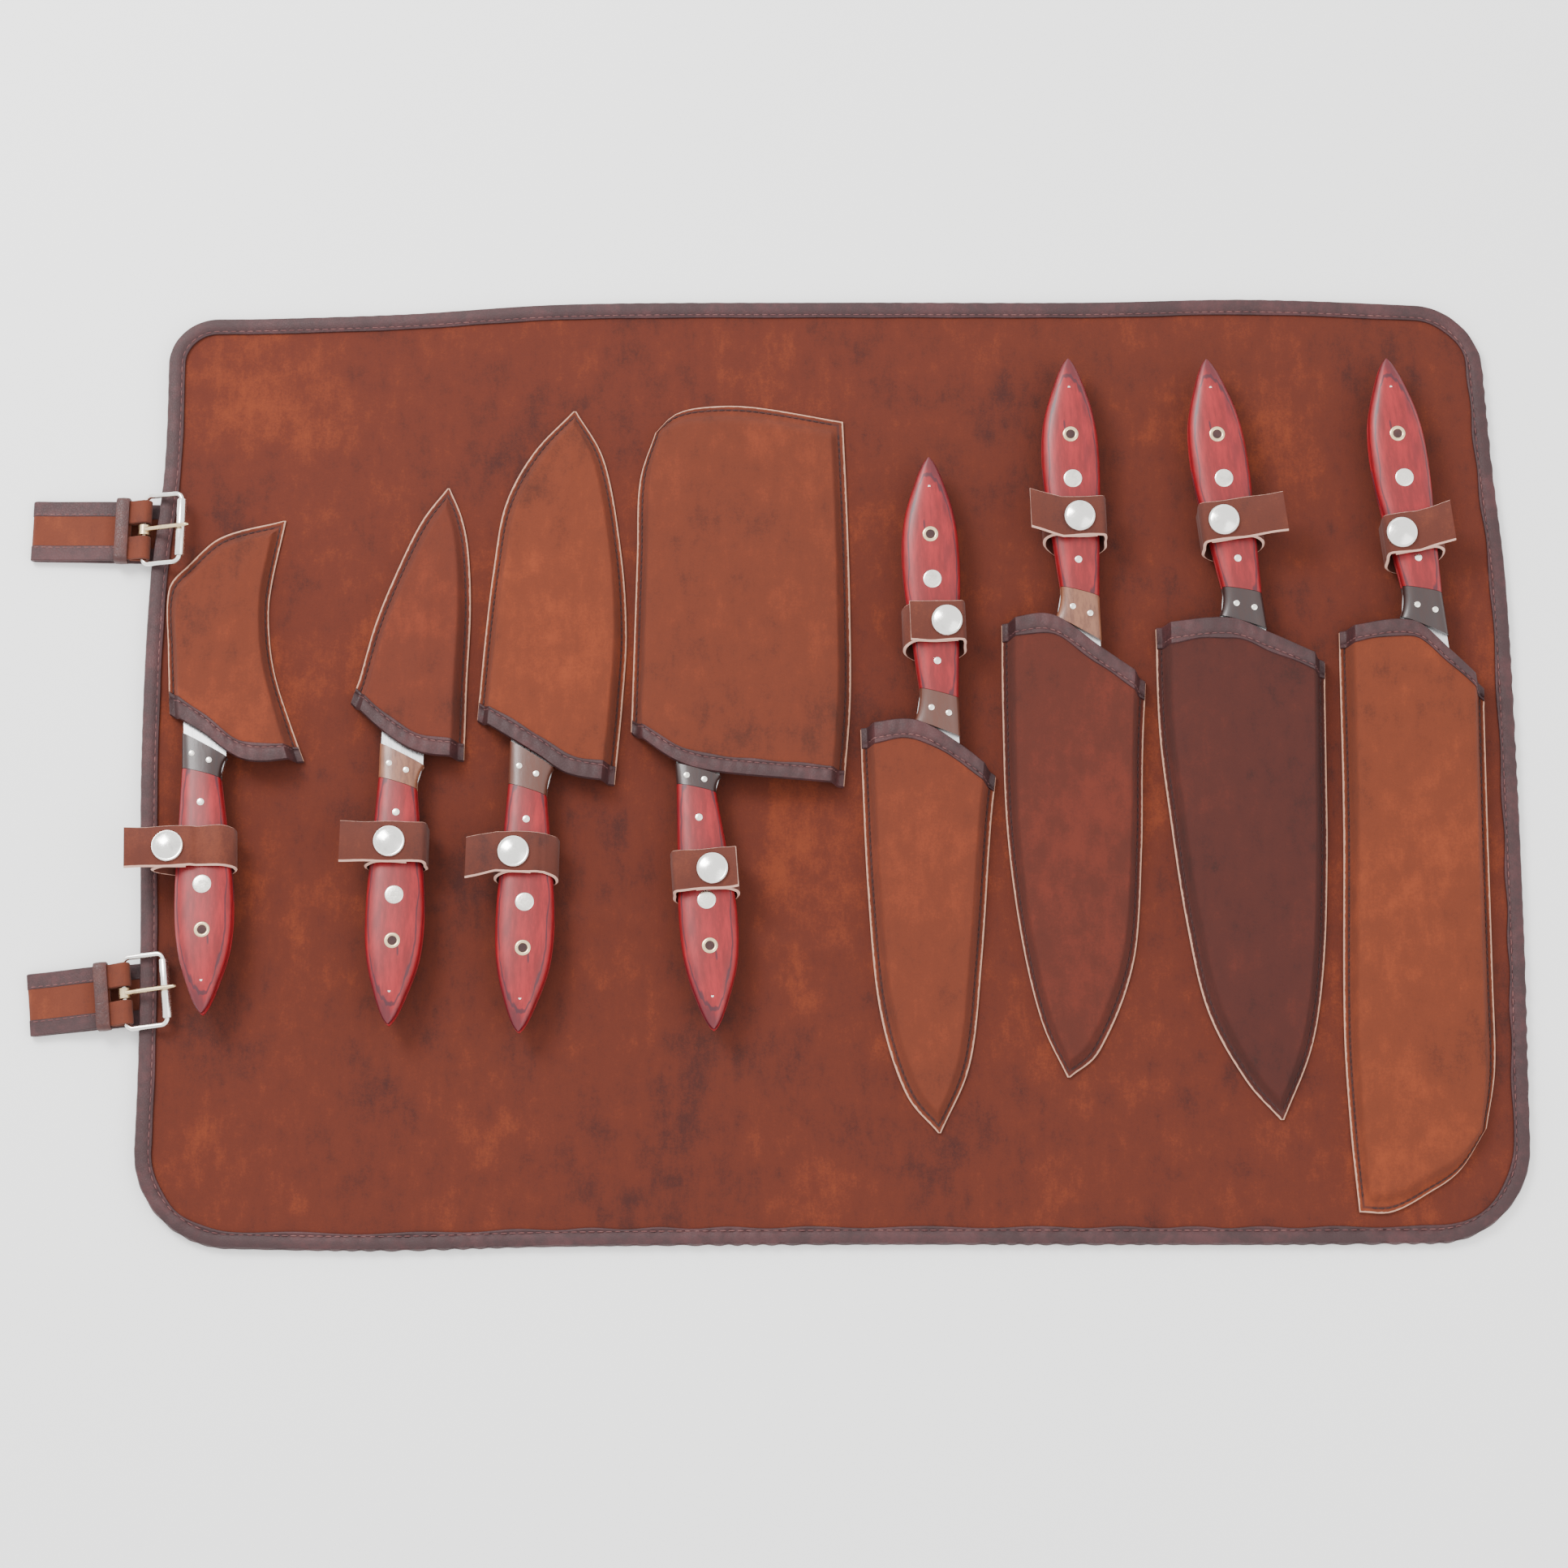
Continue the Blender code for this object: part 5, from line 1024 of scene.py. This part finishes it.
@dataclass
class Grip:
    """A knife's handle: two rounded scales, the bolster, pins and the lanyard eyelet."""

    knife: Knife
    number: int
    power: float = 2.7
    pins: tuple = ((0.13, 0.0018), (0.475, 0.0045), (0.865, 0.0018))
    eyelet_at: float = 0.665

    def ring(self, half: Array, thick: Array, side: int) -> Array:
        """Half a section, above or below the tang: a superellipse of the half width and half thickness."""
        a = np.linspace(0, np.pi, 25)
        c, s = np.cos(a), np.sin(a)
        v = np.sign(c) * np.abs(c) ** (2 / self.power)
        w = np.abs(s) ** (2 / self.power)
        near = TANG_T / 2 + 0.00006
        return np.dstack([half[:, None] * v, side * (near + (thick[:, None] - near) * w)])

    def solid(self, u: Array, skew: Array, middle: Array, half: Array, thick: Array) -> Shell:
        """Both scales lofted through their sections and closed, with the knife's coordinates kept."""
        parts = []
        for side in (1, -1):
            ring = self.ring(half, thick, side)
            v = middle[:, None] + ring[..., 0]
            points = np.dstack([u[:, None] + skew[:, None] * v, v, ring[..., 1]])
            n, m = v.shape
            centre = points[[0, -1]].mean(1)
            every = np.vstack([points.reshape(-1, 3), centre])
            i = np.arange(m)
            j = (i + 1) % m
            tris = np.vstack([np.stack([np.full(m, n * m), j, i], 1),
                              np.stack([np.full(m, n * m + 1), (n - 1) * m + i, (n - 1) * m + j], 1)])
            part = Shell(every, grid_quads(n, m, False, True), tris, {"knife": every.copy()})
            faces = np.vstack([part.quads[:, :3], part.quads[:, [0, 2, 3]], tris])
            a, b, c = (every[faces[:, k]] for k in range(3))
            if (a * np.cross(b, c)).sum() < 0:
                part.quads, part.tris = part.quads[:, ::-1], part.tris[:, ::-1]
            parts.append(part)
        return join(parts)

    def scales(self) -> Shell:
        """The red grip from the bolster to the pointed butt."""
        at = np.concatenate([np.linspace(0, 0.86, 44), np.linspace(0.875, 0.999, 16)])
        width = HANDLE_HALF_W * np.maximum(hermite(SECTION_AT, SECTION_WIDTH, at), 0.05)
        point = np.sqrt(np.maximum((1 - at) / 0.12, 0.01)) ** 1.25
        width = np.where(at > 0.88, HANDLE_HALF_W * 0.54 * point, width)
        thick = HANDLE_HALF_T * hermite(SECTION_AT, SECTION_THICK, at)
        sway = HANDLE_HALF_W * hermite(SECTION_AT, SECTION_SWAY, at)
        skew = NECK_SKEW * np.maximum(0.0, 1 - at * 4)
        return self.solid(at * HANDLE_L + 0.0001, skew, sway, width, thick)

    def bolster(self) -> Shell:
        """The bolster block, flaring in a hollow curve towards the blade's heel."""
        st = self.knife.station
        f = np.linspace(0, 1, 16)
        half = HANDLE_HALF_W * 0.67
        low = -half * (1 + 0 * f)
        high = half * (1 + 0.32 * f**2.2)
        thick = HANDLE_HALF_T * 0.90 * (1 - 0.20 * f)
        skew = NECK_SKEW * (1 - f) + st.heel_skew * f
        return self.solid(-f * st.bolster - 0.0001, skew, (low + high) / 2, (high - low) / 2, thick)

    def surface(self, at: float) -> float:
        """Height of the grip's face above the knife's plane on its middle line."""
        return float(HANDLE_HALF_T * hermite(SECTION_AT, SECTION_THICK, np.array([max(at, 0.0)]))[0])

    def pin_set(self) -> Shell:
        """Every pin: a low domed head on each face."""
        st = self.knife.station
        spots = [(a * HANDLE_L, HANDLE_HALF_W * np.interp(a, SECTION_AT, SECTION_SWAY), r, self.surface(a))
                 for a, r in self.pins]
        for v in (-0.0042, 0.0042):
            u = -st.bolster / 2 + v * (NECK_SKEW + st.heel_skew) / 2
            spots.append((u, v, 0.0015, HANDLE_HALF_T * 0.81 * (1 - (abs(v) / 0.0125) ** 2.7) ** 0.37))
        parts = []
        for u, v, r, top in spots:
            profile = np.array([(r, -.0016), (r, .00002), (r * .96, .00016),
                                (r * .8, .00026), (r * .4, .00036)])
            cap = lathe(profile, 28)
            for turn in (Matrix.Identity(4), Matrix.Rotation(math.pi, 4, "X")):
                lift = top - (0.0004 if r < 0.002 and u > 0.08 else 0.0)
                parts.append(cap.moved(turn @ Matrix.Translation((u, v if turn[1][1] > 0 else -v, lift))))
        return join(parts)

    def eyelet(self) -> tuple:
        """The eyelet's flared ring on each face, and a dark disc inside it: painted shade standing in for the
        hole.
        """
        top = self.surface(self.eyelet_at)
        v = HANDLE_HALF_W * np.interp(self.eyelet_at, SECTION_AT, SECTION_SWAY)
        lip = [(.0023, -.0012), (.0023, .0001), (.0027, .0004),
               (.0033, .00042), (.0038, .0001), (.0036, -.0012)]
        ring = lathe(np.array(lip), 32, closed=True)
        # painted shade: a dark cap over the eyelet's opening, in place of the shaded hole through the grip
        bore = lathe(np.array([(.00228, -.0004), (.00228, .00006), (.0018, .00008), (.0009, .00009)]), 24)
        rings, hole_shades = [], []
        for turn in (Matrix.Identity(4), Matrix.Rotation(math.pi, 4, "X")):
            move = turn @ Matrix.Translation((self.eyelet_at * HANDLE_L, v if turn[1][1] > 0 else -v, top))
            rings.append(ring.moved(move))
            hole_shades.append(bore.moved(move))
        return join(rings), join(hole_shades)

    def build(self, shop: "Workshop") -> None:
        """Make the grip, bolster, pins and eyelet."""
        n, m = self.number, self.knife.matrix
        look = shop.palette
        wood = self.knife.station.wood
        shop.add(f"grip_{n}", self.scales().moved(m), look.red, "handle_wood", f"handle_{n}")
        block = self.bolster().moved(m)
        shop.add(f"bolster_block_{n}", block, look.bolster[wood], f"bolster_{wood}", f"bolster_{n}")
        shop.add(f"pins_{n}", self.pin_set().moved(m), look.pin, "nickel")
        ring, bore = self.eyelet()
        shop.add(f"eyelet_{n}", ring.moved(m), look.brass, "nickel")
        # the dark cap in each eyelet is painted shade for the hole
        shop.add(f"lanyard_hole_shade_{n}", bore.moved(m), look.thread, "handle_wood")


@dataclass
class Keeper:
    """The strap snapped round a handle."""

    knife: Knife
    number: int
    width: float = 0.020
    lap: float = 0.0085
    snap_r: float = 0.0078
    snap_h: float = 0.0026

    def centre_line(self) -> Array:
        """The band's middle line round the handle, from its inner end to its tail, tail side positive."""
        k, st = self.knife, self.knife.station
        places = st.keeper_at + np.array([0, self.width / 2 / HANDLE_L])
        outline = HANDLE_HALF_W * np.interp(places, SECTION_AT, SECTION_WIDTH)
        sways = HANDLE_HALF_W * np.interp(places, SECTION_AT, SECTION_SWAY)
        low = min(s - w for s, w in zip(sways, outline))
        high = max(s + w for s, w in zip(sways, outline))
        slack = 0.0005 + GAP + KEEPER_T / 2
        self.face = k.keeper_half_t + slack
        shoulder = k.keeper_half_t * 0.48
        reach = (high - low) / 2 + slack
        self.middle = (high + low) / 2
        facet = (high - low) / 2 * 0.62 + slack / 2
        snap = (st.snap_v - self.middle) * st.tail_side
        lap = KEEPER_T + GAP
        out = max(reach, snap + self.lap)
        inner = max(snap - self.lap, KEEPER_T + lap - reach)
        ramp = min(inner - lap, facet - lap)
        path = [(inner, self.face), (max(facet, out - reach + facet), self.face), (out, shoulder),
                (reach, -shoulder), (facet, -self.face), (-facet, -self.face), (-reach, -shoulder),
                (-reach, shoulder)]
        if ramp - 2 * lap > -facet:
            path += [(-facet, self.face), (ramp - 2 * lap, self.face), (ramp, self.face + lap)]
        else:
            path += [(-reach, self.face - KEEPER_T), (KEEPER_T + GAP - reach, self.face + lap)]
        self.limit = snap + self.lap
        path += [(self.limit, self.face + lap), (snap + st.tail, self.face + lap + 0.0012)]
        return along(np.array(path), np.linspace(0, 1, 150))

    def band(self) -> Shell:
        """A flat section with slanted cut edges carried along the line, leaning towards the viewer below."""
        line = self.centre_line()
        st = self.knife.station
        step = unit(np.gradient(line, axis=0))
        normal = np.column_stack([np.zeros(len(line)), -step[:, 1] * st.tail_side, step[:, 0]])
        lean = self.knife.sign * st.ring_lean * (self.face - line[:, 1]) / (2 * self.face)
        lean = np.where(line[:, 1] > self.face, 0.0, lean)
        lean = lean + st.skew * np.maximum(0.0, line[:, 0] - self.limit)
        across = self.middle + line[:, 0] * st.tail_side
        path = np.column_stack([self.knife.keeper_u + lean, across, line[:, 1]])
        h, t, c = self.width / 2, KEEPER_T / 2, 0.0009
        near, far = (h, -h) if self.knife.sign > 0 else (-h, h)
        n = 1.0 if near > 0 else -1.0
        profile = np.array([(far, t - .0003), (far + n * .0003, t), (0, t), (near - n * c, t),
                            (near - n * c * .8, t * .9), (near, -t * .6), (near - n * .0003, -t), (0, -t),
                            (far + n * .0003, -t), (far, -t + .0003)])
        cut = np.array([1, 0, 0, 0, 1, 1, 0, 0, 0, 1.0])
        side = np.tile([1.0, 0.0, 0.0], (len(path), 1))
        run = np.linspace(0, 1, len(path))
        profile = np.tile(profile, (len(path), 1, 1))
        profile[..., 0] *= (1 + 0.02 * np.sin(run * 31 + self.number))[:, None]
        return carried(path, side, normal, profile, False, cut)

    def cap(self) -> Shell:
        """The snap's cap: a rolled rim, a shallow groove and a dome."""
        r, h = self.snap_r, self.snap_h
        a = np.linspace(0, 1, 9)
        dome = np.column_stack([r * 0.80 * (1 - a) + 0.0004 * a, h * (0.52 + 0.48 * np.sin(a * np.pi / 2))])
        rim = np.array([(r * .55, -.0002), (r * .93, -.0001), (r, .0004), (r * 1.0, .0009), (r * .96, .0013),
                        (r * .90, .00135), (r * .84, .0012)])
        return lathe(np.vstack([rim, dome]), 48)

    def build(self, shop: "Workshop") -> None:
        """Make the band and its snap."""
        n, m = self.number, self.knife.matrix
        band = self.band().moved(m)
        shop.add(f"keeper_band_{n}", band, shop.palette.keeper, "keeper_suede", f"keeper_{n}", sharp=70)
        height = self.face + 1.5 * KEEPER_T + GAP
        at = Matrix.Translation((self.knife.keeper_u, self.knife.station.snap_v, height))
        shop.add(f"snap_cap_{n}", self.cap().moved(m @ at), shop.palette.nickel, "nickel", f"snap_{n}")


@dataclass
class StrapBuckle:
    """A closing strap with its bound edges, loop and roller buckle, in a frame on the heel bar's axis."""

    layout: Layout
    name: str
    y: float
    length: float
    turn: float
    pitch: float
    width: float = 0.030
    wire_r: float = 0.0013
    frame_l: float = 0.0205
    half_w: float = 0.0175
    roller_r: float = 0.0024
    roller_l: float = 0.029
    slot_half: float = 0.0034

    def __post_init__(self) -> None:
        """Work out the buckle's place over the panel's left edge and the heights of its pieces."""
        edge_y = self.y * self.layout.height
        bulge = self.layout.edge_wave * np.interp(self.y, EDGE_AT, EDGE_WAVES["left"])
        edge_x = float(-self.layout.width / 2 - bulge)
        turn, pitch = math.radians(self.turn), math.radians(self.pitch)
        self.edge_gap = 0.0048 + GAP + BINDING_T + self.width / 2 * abs(math.sin(turn))
        self.wrap = self.wire_r + 0.00035 + STRAP_T / 2
        over = float(self.layout.top(edge_x)) + GAP + BINDING_T + GAP + self.wire_r / math.cos(pitch)
        over -= 0.0048 * math.tan(pitch)
        table = -(GAP + BINDING_T)
        stack = table + STRAP_T + 2 * GAP + LOOP_T + GAP + STRAP_T / 2 + self.wrap
        self.heel_z = max(over, stack)
        self.lower_z = table + STRAP_T / 2
        self.upper_z = self.heel_z - self.wrap
        self.back_z = self.upper_z + STRAP_T + 0.0006
        self.flat = Matrix.Translation((edge_x - self.edge_gap, edge_y, 0.0)) @ Matrix.Rotation(turn, 4, "Z")
        self.heel = self.flat @ Matrix.Translation((0, 0, self.heel_z)) @ Matrix.Rotation(-pitch, 4, "Y")

    def line(self) -> Array:
        """The strap's middle line: tucked end, fold, ramp, wrap round the heel bar and turned end."""
        bend = (STRAP_T + 0.0006) / 2
        far = -self.length + bend
        a = np.radians([-135, 180, 135])
        fold = np.column_stack([far + bend * np.cos(a), self.lower_z + bend + bend * np.sin(a)])
        b = np.radians([-60, -20, 20, 60, 95])
        wrap = np.column_stack([self.wrap * np.cos(b), self.heel_z + self.wrap * np.sin(b)])
        path = np.vstack([[(self.edge_gap + 0.020, self.lower_z), (far, self.lower_z)], fold,
                          [(far, self.lower_z + 2 * bend), (far + 0.010, self.lower_z + 2 * bend),
                           (-0.020, self.upper_z), (0.0, self.upper_z)], wrap,
                          [(-2.4 * self.wrap, self.back_z), (-0.0145, self.back_z)]])
        runs = np.concatenate([[0.0], np.cumsum(np.linalg.norm(np.diff(path, axis=0), axis=1))])
        at = np.linspace(0, runs[-1], 260)
        return np.column_stack([np.interp(at, runs, path[:, 0]), np.interp(at, runs, path[:, 1])])

    def strip(self, line: Array, low: float, high: float, thick: float) -> Shell:
        """A strip of even thickness along a line, between two places across it, with rounded edges."""
        step = unit(np.gradient(line, axis=0))
        up = np.column_stack([-step[:, 1], np.zeros(len(line)), step[:, 0]])
        path = np.column_stack([line[:, 0], np.zeros(len(line)), line[:, 1]])
        side = np.tile([0.0, 1.0, 0.0], (len(line), 1))
        t, e = thick / 2, 0.0004
        profile = [(low, t - e), (low + e, t), (high - e, t), (high, t - e),
                   (high, e - t), (high - e, -t), (low + e, -t), (low, e - t)]
        return carried(path, side, up, np.array(profile), False)

    def build(self, shop: "Workshop") -> None:
        """Make the strap, its bindings, seams, loop and buckle."""
        look, name = shop.palette, self.name
        line = self.line()
        near_bar = (line[:, 0] > -0.0075) & (line[:, 1] > self.upper_z - 0.0005)
        first = int(np.argmax(near_bar & (np.arange(len(line)) > 60)))
        half = self.width / 2
        body = self.strip(line[: first + 1], -half + .0006, half - .0006, STRAP_T * 0.72)
        arms = [self.strip(line[first:], low, high, STRAP_T * 0.94)
                for low, high in ((self.slot_half, half), (-half, -self.slot_half))]
        shop.add(f"strap_suede_{name}", join([body] + arms).moved(self.flat), look.strap, "binding",
                 f"strap_{name}")
        bands = [self.strip(line[: first + 1], s, s + 0.0078, STRAP_T)
                 for s in (-half - .0002, half - .0076)]
        shop.add(f"strap_binding_{name}", join(bands).moved(self.flat), look.binding, "binding")
        seams = []
        top = line[110:first]
        for v in (-half + 0.0065, half - 0.0065):
            seam = np.column_stack([top[:, 0], np.full(len(top), v), top[:, 1] + STRAP_T * .52])
            seams.append(stitches(seam, 0.0036, 0.0027, 0.0003))
        shop.add(f"strap_seam_{name}", join(seams).moved(self.flat), look.pale_thread, "binding")
        loop = self.loop().moved(self.flat)
        shop.add(f"strap_keeper_{name}", loop, look.loop, "binding", f"strap_loop_{name}")
        shop.add(f"buckle_wire_{name}", self.wire().moved(self.heel), look.nickel, "nickel",
                 f"buckle_frame_{name}", body=f"frame_{name}")
        shop.add(f"buckle_tongue_{name}", self.prong().moved(self.heel), look.brass, "nickel",
                 f"buckle_prong_{name}", body=f"prong_{name}")
        bar = self.heel @ Matrix.Translation((self.frame_l, 0, 0))
        shop.add(f"buckle_tube_{name}", self.roller().moved(bar), look.nickel, "nickel",
                 f"buckle_roller_{name}", body=f"roller_{name}")

    def loop(self) -> Shell:
        """The leather loop: a flat section carried round a rounded oblong."""
        half_y = self.width / 2 + GAP + LOOP_T / 2
        low = self.upper_z - STRAP_T / 2 - GAP - LOOP_T / 2
        high = self.back_z + STRAP_T / 2 + GAP + LOOP_T / 2
        r = (high - low) * 0.35
        pts = []
        for sy, sz, start in ((1, 1, 0), (-1, 1, 90), (-1, -1, 180), (1, -1, 270)):
            a = np.radians(np.linspace(start, start + 90, 7))
            cy, cz = sy * (half_y - r), high - r if sz > 0 else low + r
            pts.append(np.column_stack([np.zeros(7), cy + r * np.cos(a), cz + r * np.sin(a)]))
        path = np.vstack(pts)
        step = unit(np.roll(path, -1, 0) - np.roll(path, 1, 0))
        out = np.column_stack([np.zeros(len(path)), step[:, 2], -step[:, 1]])
        side = np.tile([1.0, 0.0, 0.0], (len(path), 1))
        t, x0, w = LOOP_T / 2, -0.0145 + GAP, 0.0065
        profile = np.array([(x0, -t * .6), (x0, t * .6), (x0 + .0004, t), (x0 + w / 2, t * 1.25),
                            (x0 + w - .0004, t),
                            (x0 + w, t * .6), (x0 + w, -t * .6), (x0 + w - .0004, -t), (x0 + .0004, -t)])
        return carried(path, side, out, profile, True)

    def wire(self) -> Shell:
        """The buckle frame: a round wire carried round an oblong with soft corners."""
        r, half, far = 0.0034, self.half_w, self.frame_l
        pts = []
        corners = ((far - r, half - r, 0), (r, half - r, 90), (r, r - half, 180), (far - r, r - half, 270))
        for cx, cy, start in corners:
            a = np.radians(np.linspace(start, start + 90, 10))
            pts.append(np.column_stack([cx + r * np.cos(a), cy + r * np.sin(a), np.zeros(10)]))
        path = np.vstack(pts)
        step = unit(np.roll(path, -1, 0) - np.roll(path, 1, 0))
        out = np.column_stack([step[:, 1], -step[:, 0], np.zeros(len(path))])
        up = np.tile([0.0, 0.0, 1.0], (len(path), 1))
        a = np.linspace(0, 2 * np.pi, 16, endpoint=False)
        return carried(path, out, up, self.wire_r * np.column_stack([np.cos(a), np.sin(a)]), True)

    def roller(self) -> Shell:
        """The loose tube on the outer bar, its ends turned in."""
        h, r, bore = self.roller_l / 2, self.roller_r, self.wire_r + 0.00035
        profile = np.array([(bore, -h + .0002), (r * .85, -h), (r, -h + .0005),
                            (r, h - .0005), (r * .85, h), (bore, h - .0002)])
        return lathe(profile, 28, closed=True).moved(Matrix.Rotation(math.pi / 2, 4, "X"))

    def prong(self) -> Shell:
        """The prong: a rolled base round the heel bar and a tapered tongue that rests on the roller."""
        inner, outer, w = self.wire_r + 0.00035, 0.0029, 0.0027
        profile = np.array([(inner, -w), (outer - .0003, -w), (outer, -w + .0003),
                            (outer, w - .0003), (outer - .0003, w), (inner, w)])
        base = lathe(profile, 28, closed=True).moved(Matrix.Rotation(math.pi / 2, 4, "X"))
        over = self.roller_r + GAP + 0.0011
        x = np.linspace(0, 1, 40)
        bends = np.array([(0.0015, 0.0016), (0.006, 0.0024), (0.0205, over), (0.0258, over + .0005),
                          (0.0270, over)])
        spine = along(bends, x)
        path = np.column_stack([spine[:, 0], np.zeros(40), spine[:, 1]])
        step = unit(np.gradient(path, axis=0))
        up = np.column_stack([-step[:, 2], np.zeros(40), step[:, 0]])
        a = np.linspace(0, 2 * np.pi, 14, endpoint=False)
        rad = 0.0011 * np.interp(x, (0, .15, .75, .96, 1), (1.25, 1.05, 0.95, 0.8, 0.35))
        circle = rad[:, None, None] * np.column_stack([np.cos(a), np.sin(a)])[None]
        tongue = carried(path, np.tile([0.0, 1.0, 0.0], (40, 1)), up, circle, False)
        return join([base, tongue])


class Workshop:
    """Puts finished shells in the scene, on their bodies, and keeps the materials."""

    def __init__(self, shift: Array) -> None:
        """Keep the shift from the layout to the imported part."""
        self.shift = shift
        self.palette = Palette()

    def add(self, name: str, shell: Shell, material: bpy.types.Material, slot: str, node: str = "",
            body: str = "roll", sharp: float = 40.0) -> bpy.types.Object:
        """Make a piece, ride it on its body, and let it stand for its node.

        Args:
            name: the piece's name.
            shell: its surface in the layout.
            material: its finish.
            slot: the record's material slot; not used.
            node: the node that it replaces, if any.
            body: the body that it moves with.
            sharp: edges over this angle in degrees stay sharp.
        Returns:
            The piece's object.
        """
        made = shell.object(name, self.shift, material, sharp)
        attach(made, body)
        if node:
            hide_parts(node)
        LOG.info("%s: %d faces", name, len(made.data.polygons))
        return made


@dataclass
class Studio:
    """A pale table, soft lights and the camera of the photograph."""

    elevation: float = 78.0
    distance: float = 1.75
    focal_px: float = 4375.0
    image_px: float = 1932.0
    target: tuple = (-0.0225, -0.011, 0.0)

    def build(self, shift: Array) -> None:
        """Make the table, the world, the lights and the camera."""
        mesh = bpy.data.meshes.new("table")
        s = 6.0
        mesh.from_pydata([(-s, -s, 0), (s, -s, 0), (s, s, 0), (-s, s, 0)], [], [(0, 1, 2, 3)])
        table = bpy.data.objects.new("table", mesh)
        table.location.z = -0.0001
        made = bpy.data.materials.new("pale_table")
        made.use_nodes = True
        made.node_tree.nodes["Principled BSDF"].inputs["Base Color"].default_value = (0.93, 0.93, 0.925, 1)
        made.node_tree.nodes["Principled BSDF"].inputs["Roughness"].default_value = 0.9
        mesh.materials.append(made)
        bpy.context.scene.collection.objects.link(table)
        world = bpy.data.worlds.new("studio")
        bpy.context.scene.world = world
        world.use_nodes = True
        world.node_tree.nodes["Background"].inputs["Color"].default_value = (1, 1, 1, 1)
        world.node_tree.nodes["Background"].inputs["Strength"].default_value = 1.9
        lights = (("key", (-0.9, 0.9, 1.3), 0.7, 34.0), ("fill", (1.2, -0.6, 1.6), 1.4, 10.0))
        for name, place, size, watts in lights:
            lamp = bpy.data.lights.new(name, "AREA")
            lamp.size = size
            lamp.energy = watts
            light = bpy.data.objects.new(name, lamp)
            light.location = place
            light.rotation_euler = (-Vector(place)).to_track_quat("-Z", "Y").to_euler()
            bpy.context.scene.collection.objects.link(light)
        data = bpy.data.cameras.new("photo")
        data.lens = self.focal_px * 36.0 / self.image_px
        data.sensor_width = 36.0
        camera = bpy.data.objects.new("photo", data)
        aim = Vector(self.target) + Vector(shift)
        tilt = math.radians(self.elevation)
        back = Vector((0, -math.cos(tilt), math.sin(tilt)))
        camera.location = aim + back * self.distance
        camera.rotation_euler = (-back).to_track_quat("-Z", "Y").to_euler()
        bpy.context.scene.collection.objects.link(camera)
        bpy.context.scene.camera = camera


def main() -> None:
    """Build every part of the roll in order."""
    logging.basicConfig(level=logging.INFO, format="%(message)s")
    layout = Layout()
    buckles = [StrapBuckle(layout, "top", 0.246, 0.0560, -1.0, 20.0),
               StrapBuckle(layout, "bottom", -0.2455, 0.0470, 6.0, 8.0)]
    low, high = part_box("buckle_roller_top")
    centre = (low + high) / 2
    shift = np.array(centre - buckles[0].heel @ Vector((buckles[0].frame_l, 0, 0)))
    shop = Workshop(shift)
    Studio().build(shift)
    Panel(layout).build(shop)
    for number, (station, left) in enumerate(zip(STATIONS, layout.lefts), 1):
        knife = Knife(layout, station, left)
        Pocket(knife, number).build(shop)
        Grip(knife, number).build(shop)
        Keeper(knife, number).build(shop)
        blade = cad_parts[f"blade_{number}"]
        blade.data.materials.clear()
        blade.data.materials.append(shop.palette.steel)
    for buckle in buckles:
        buckle.build(shop)


if __name__ == "__main__":
    main()
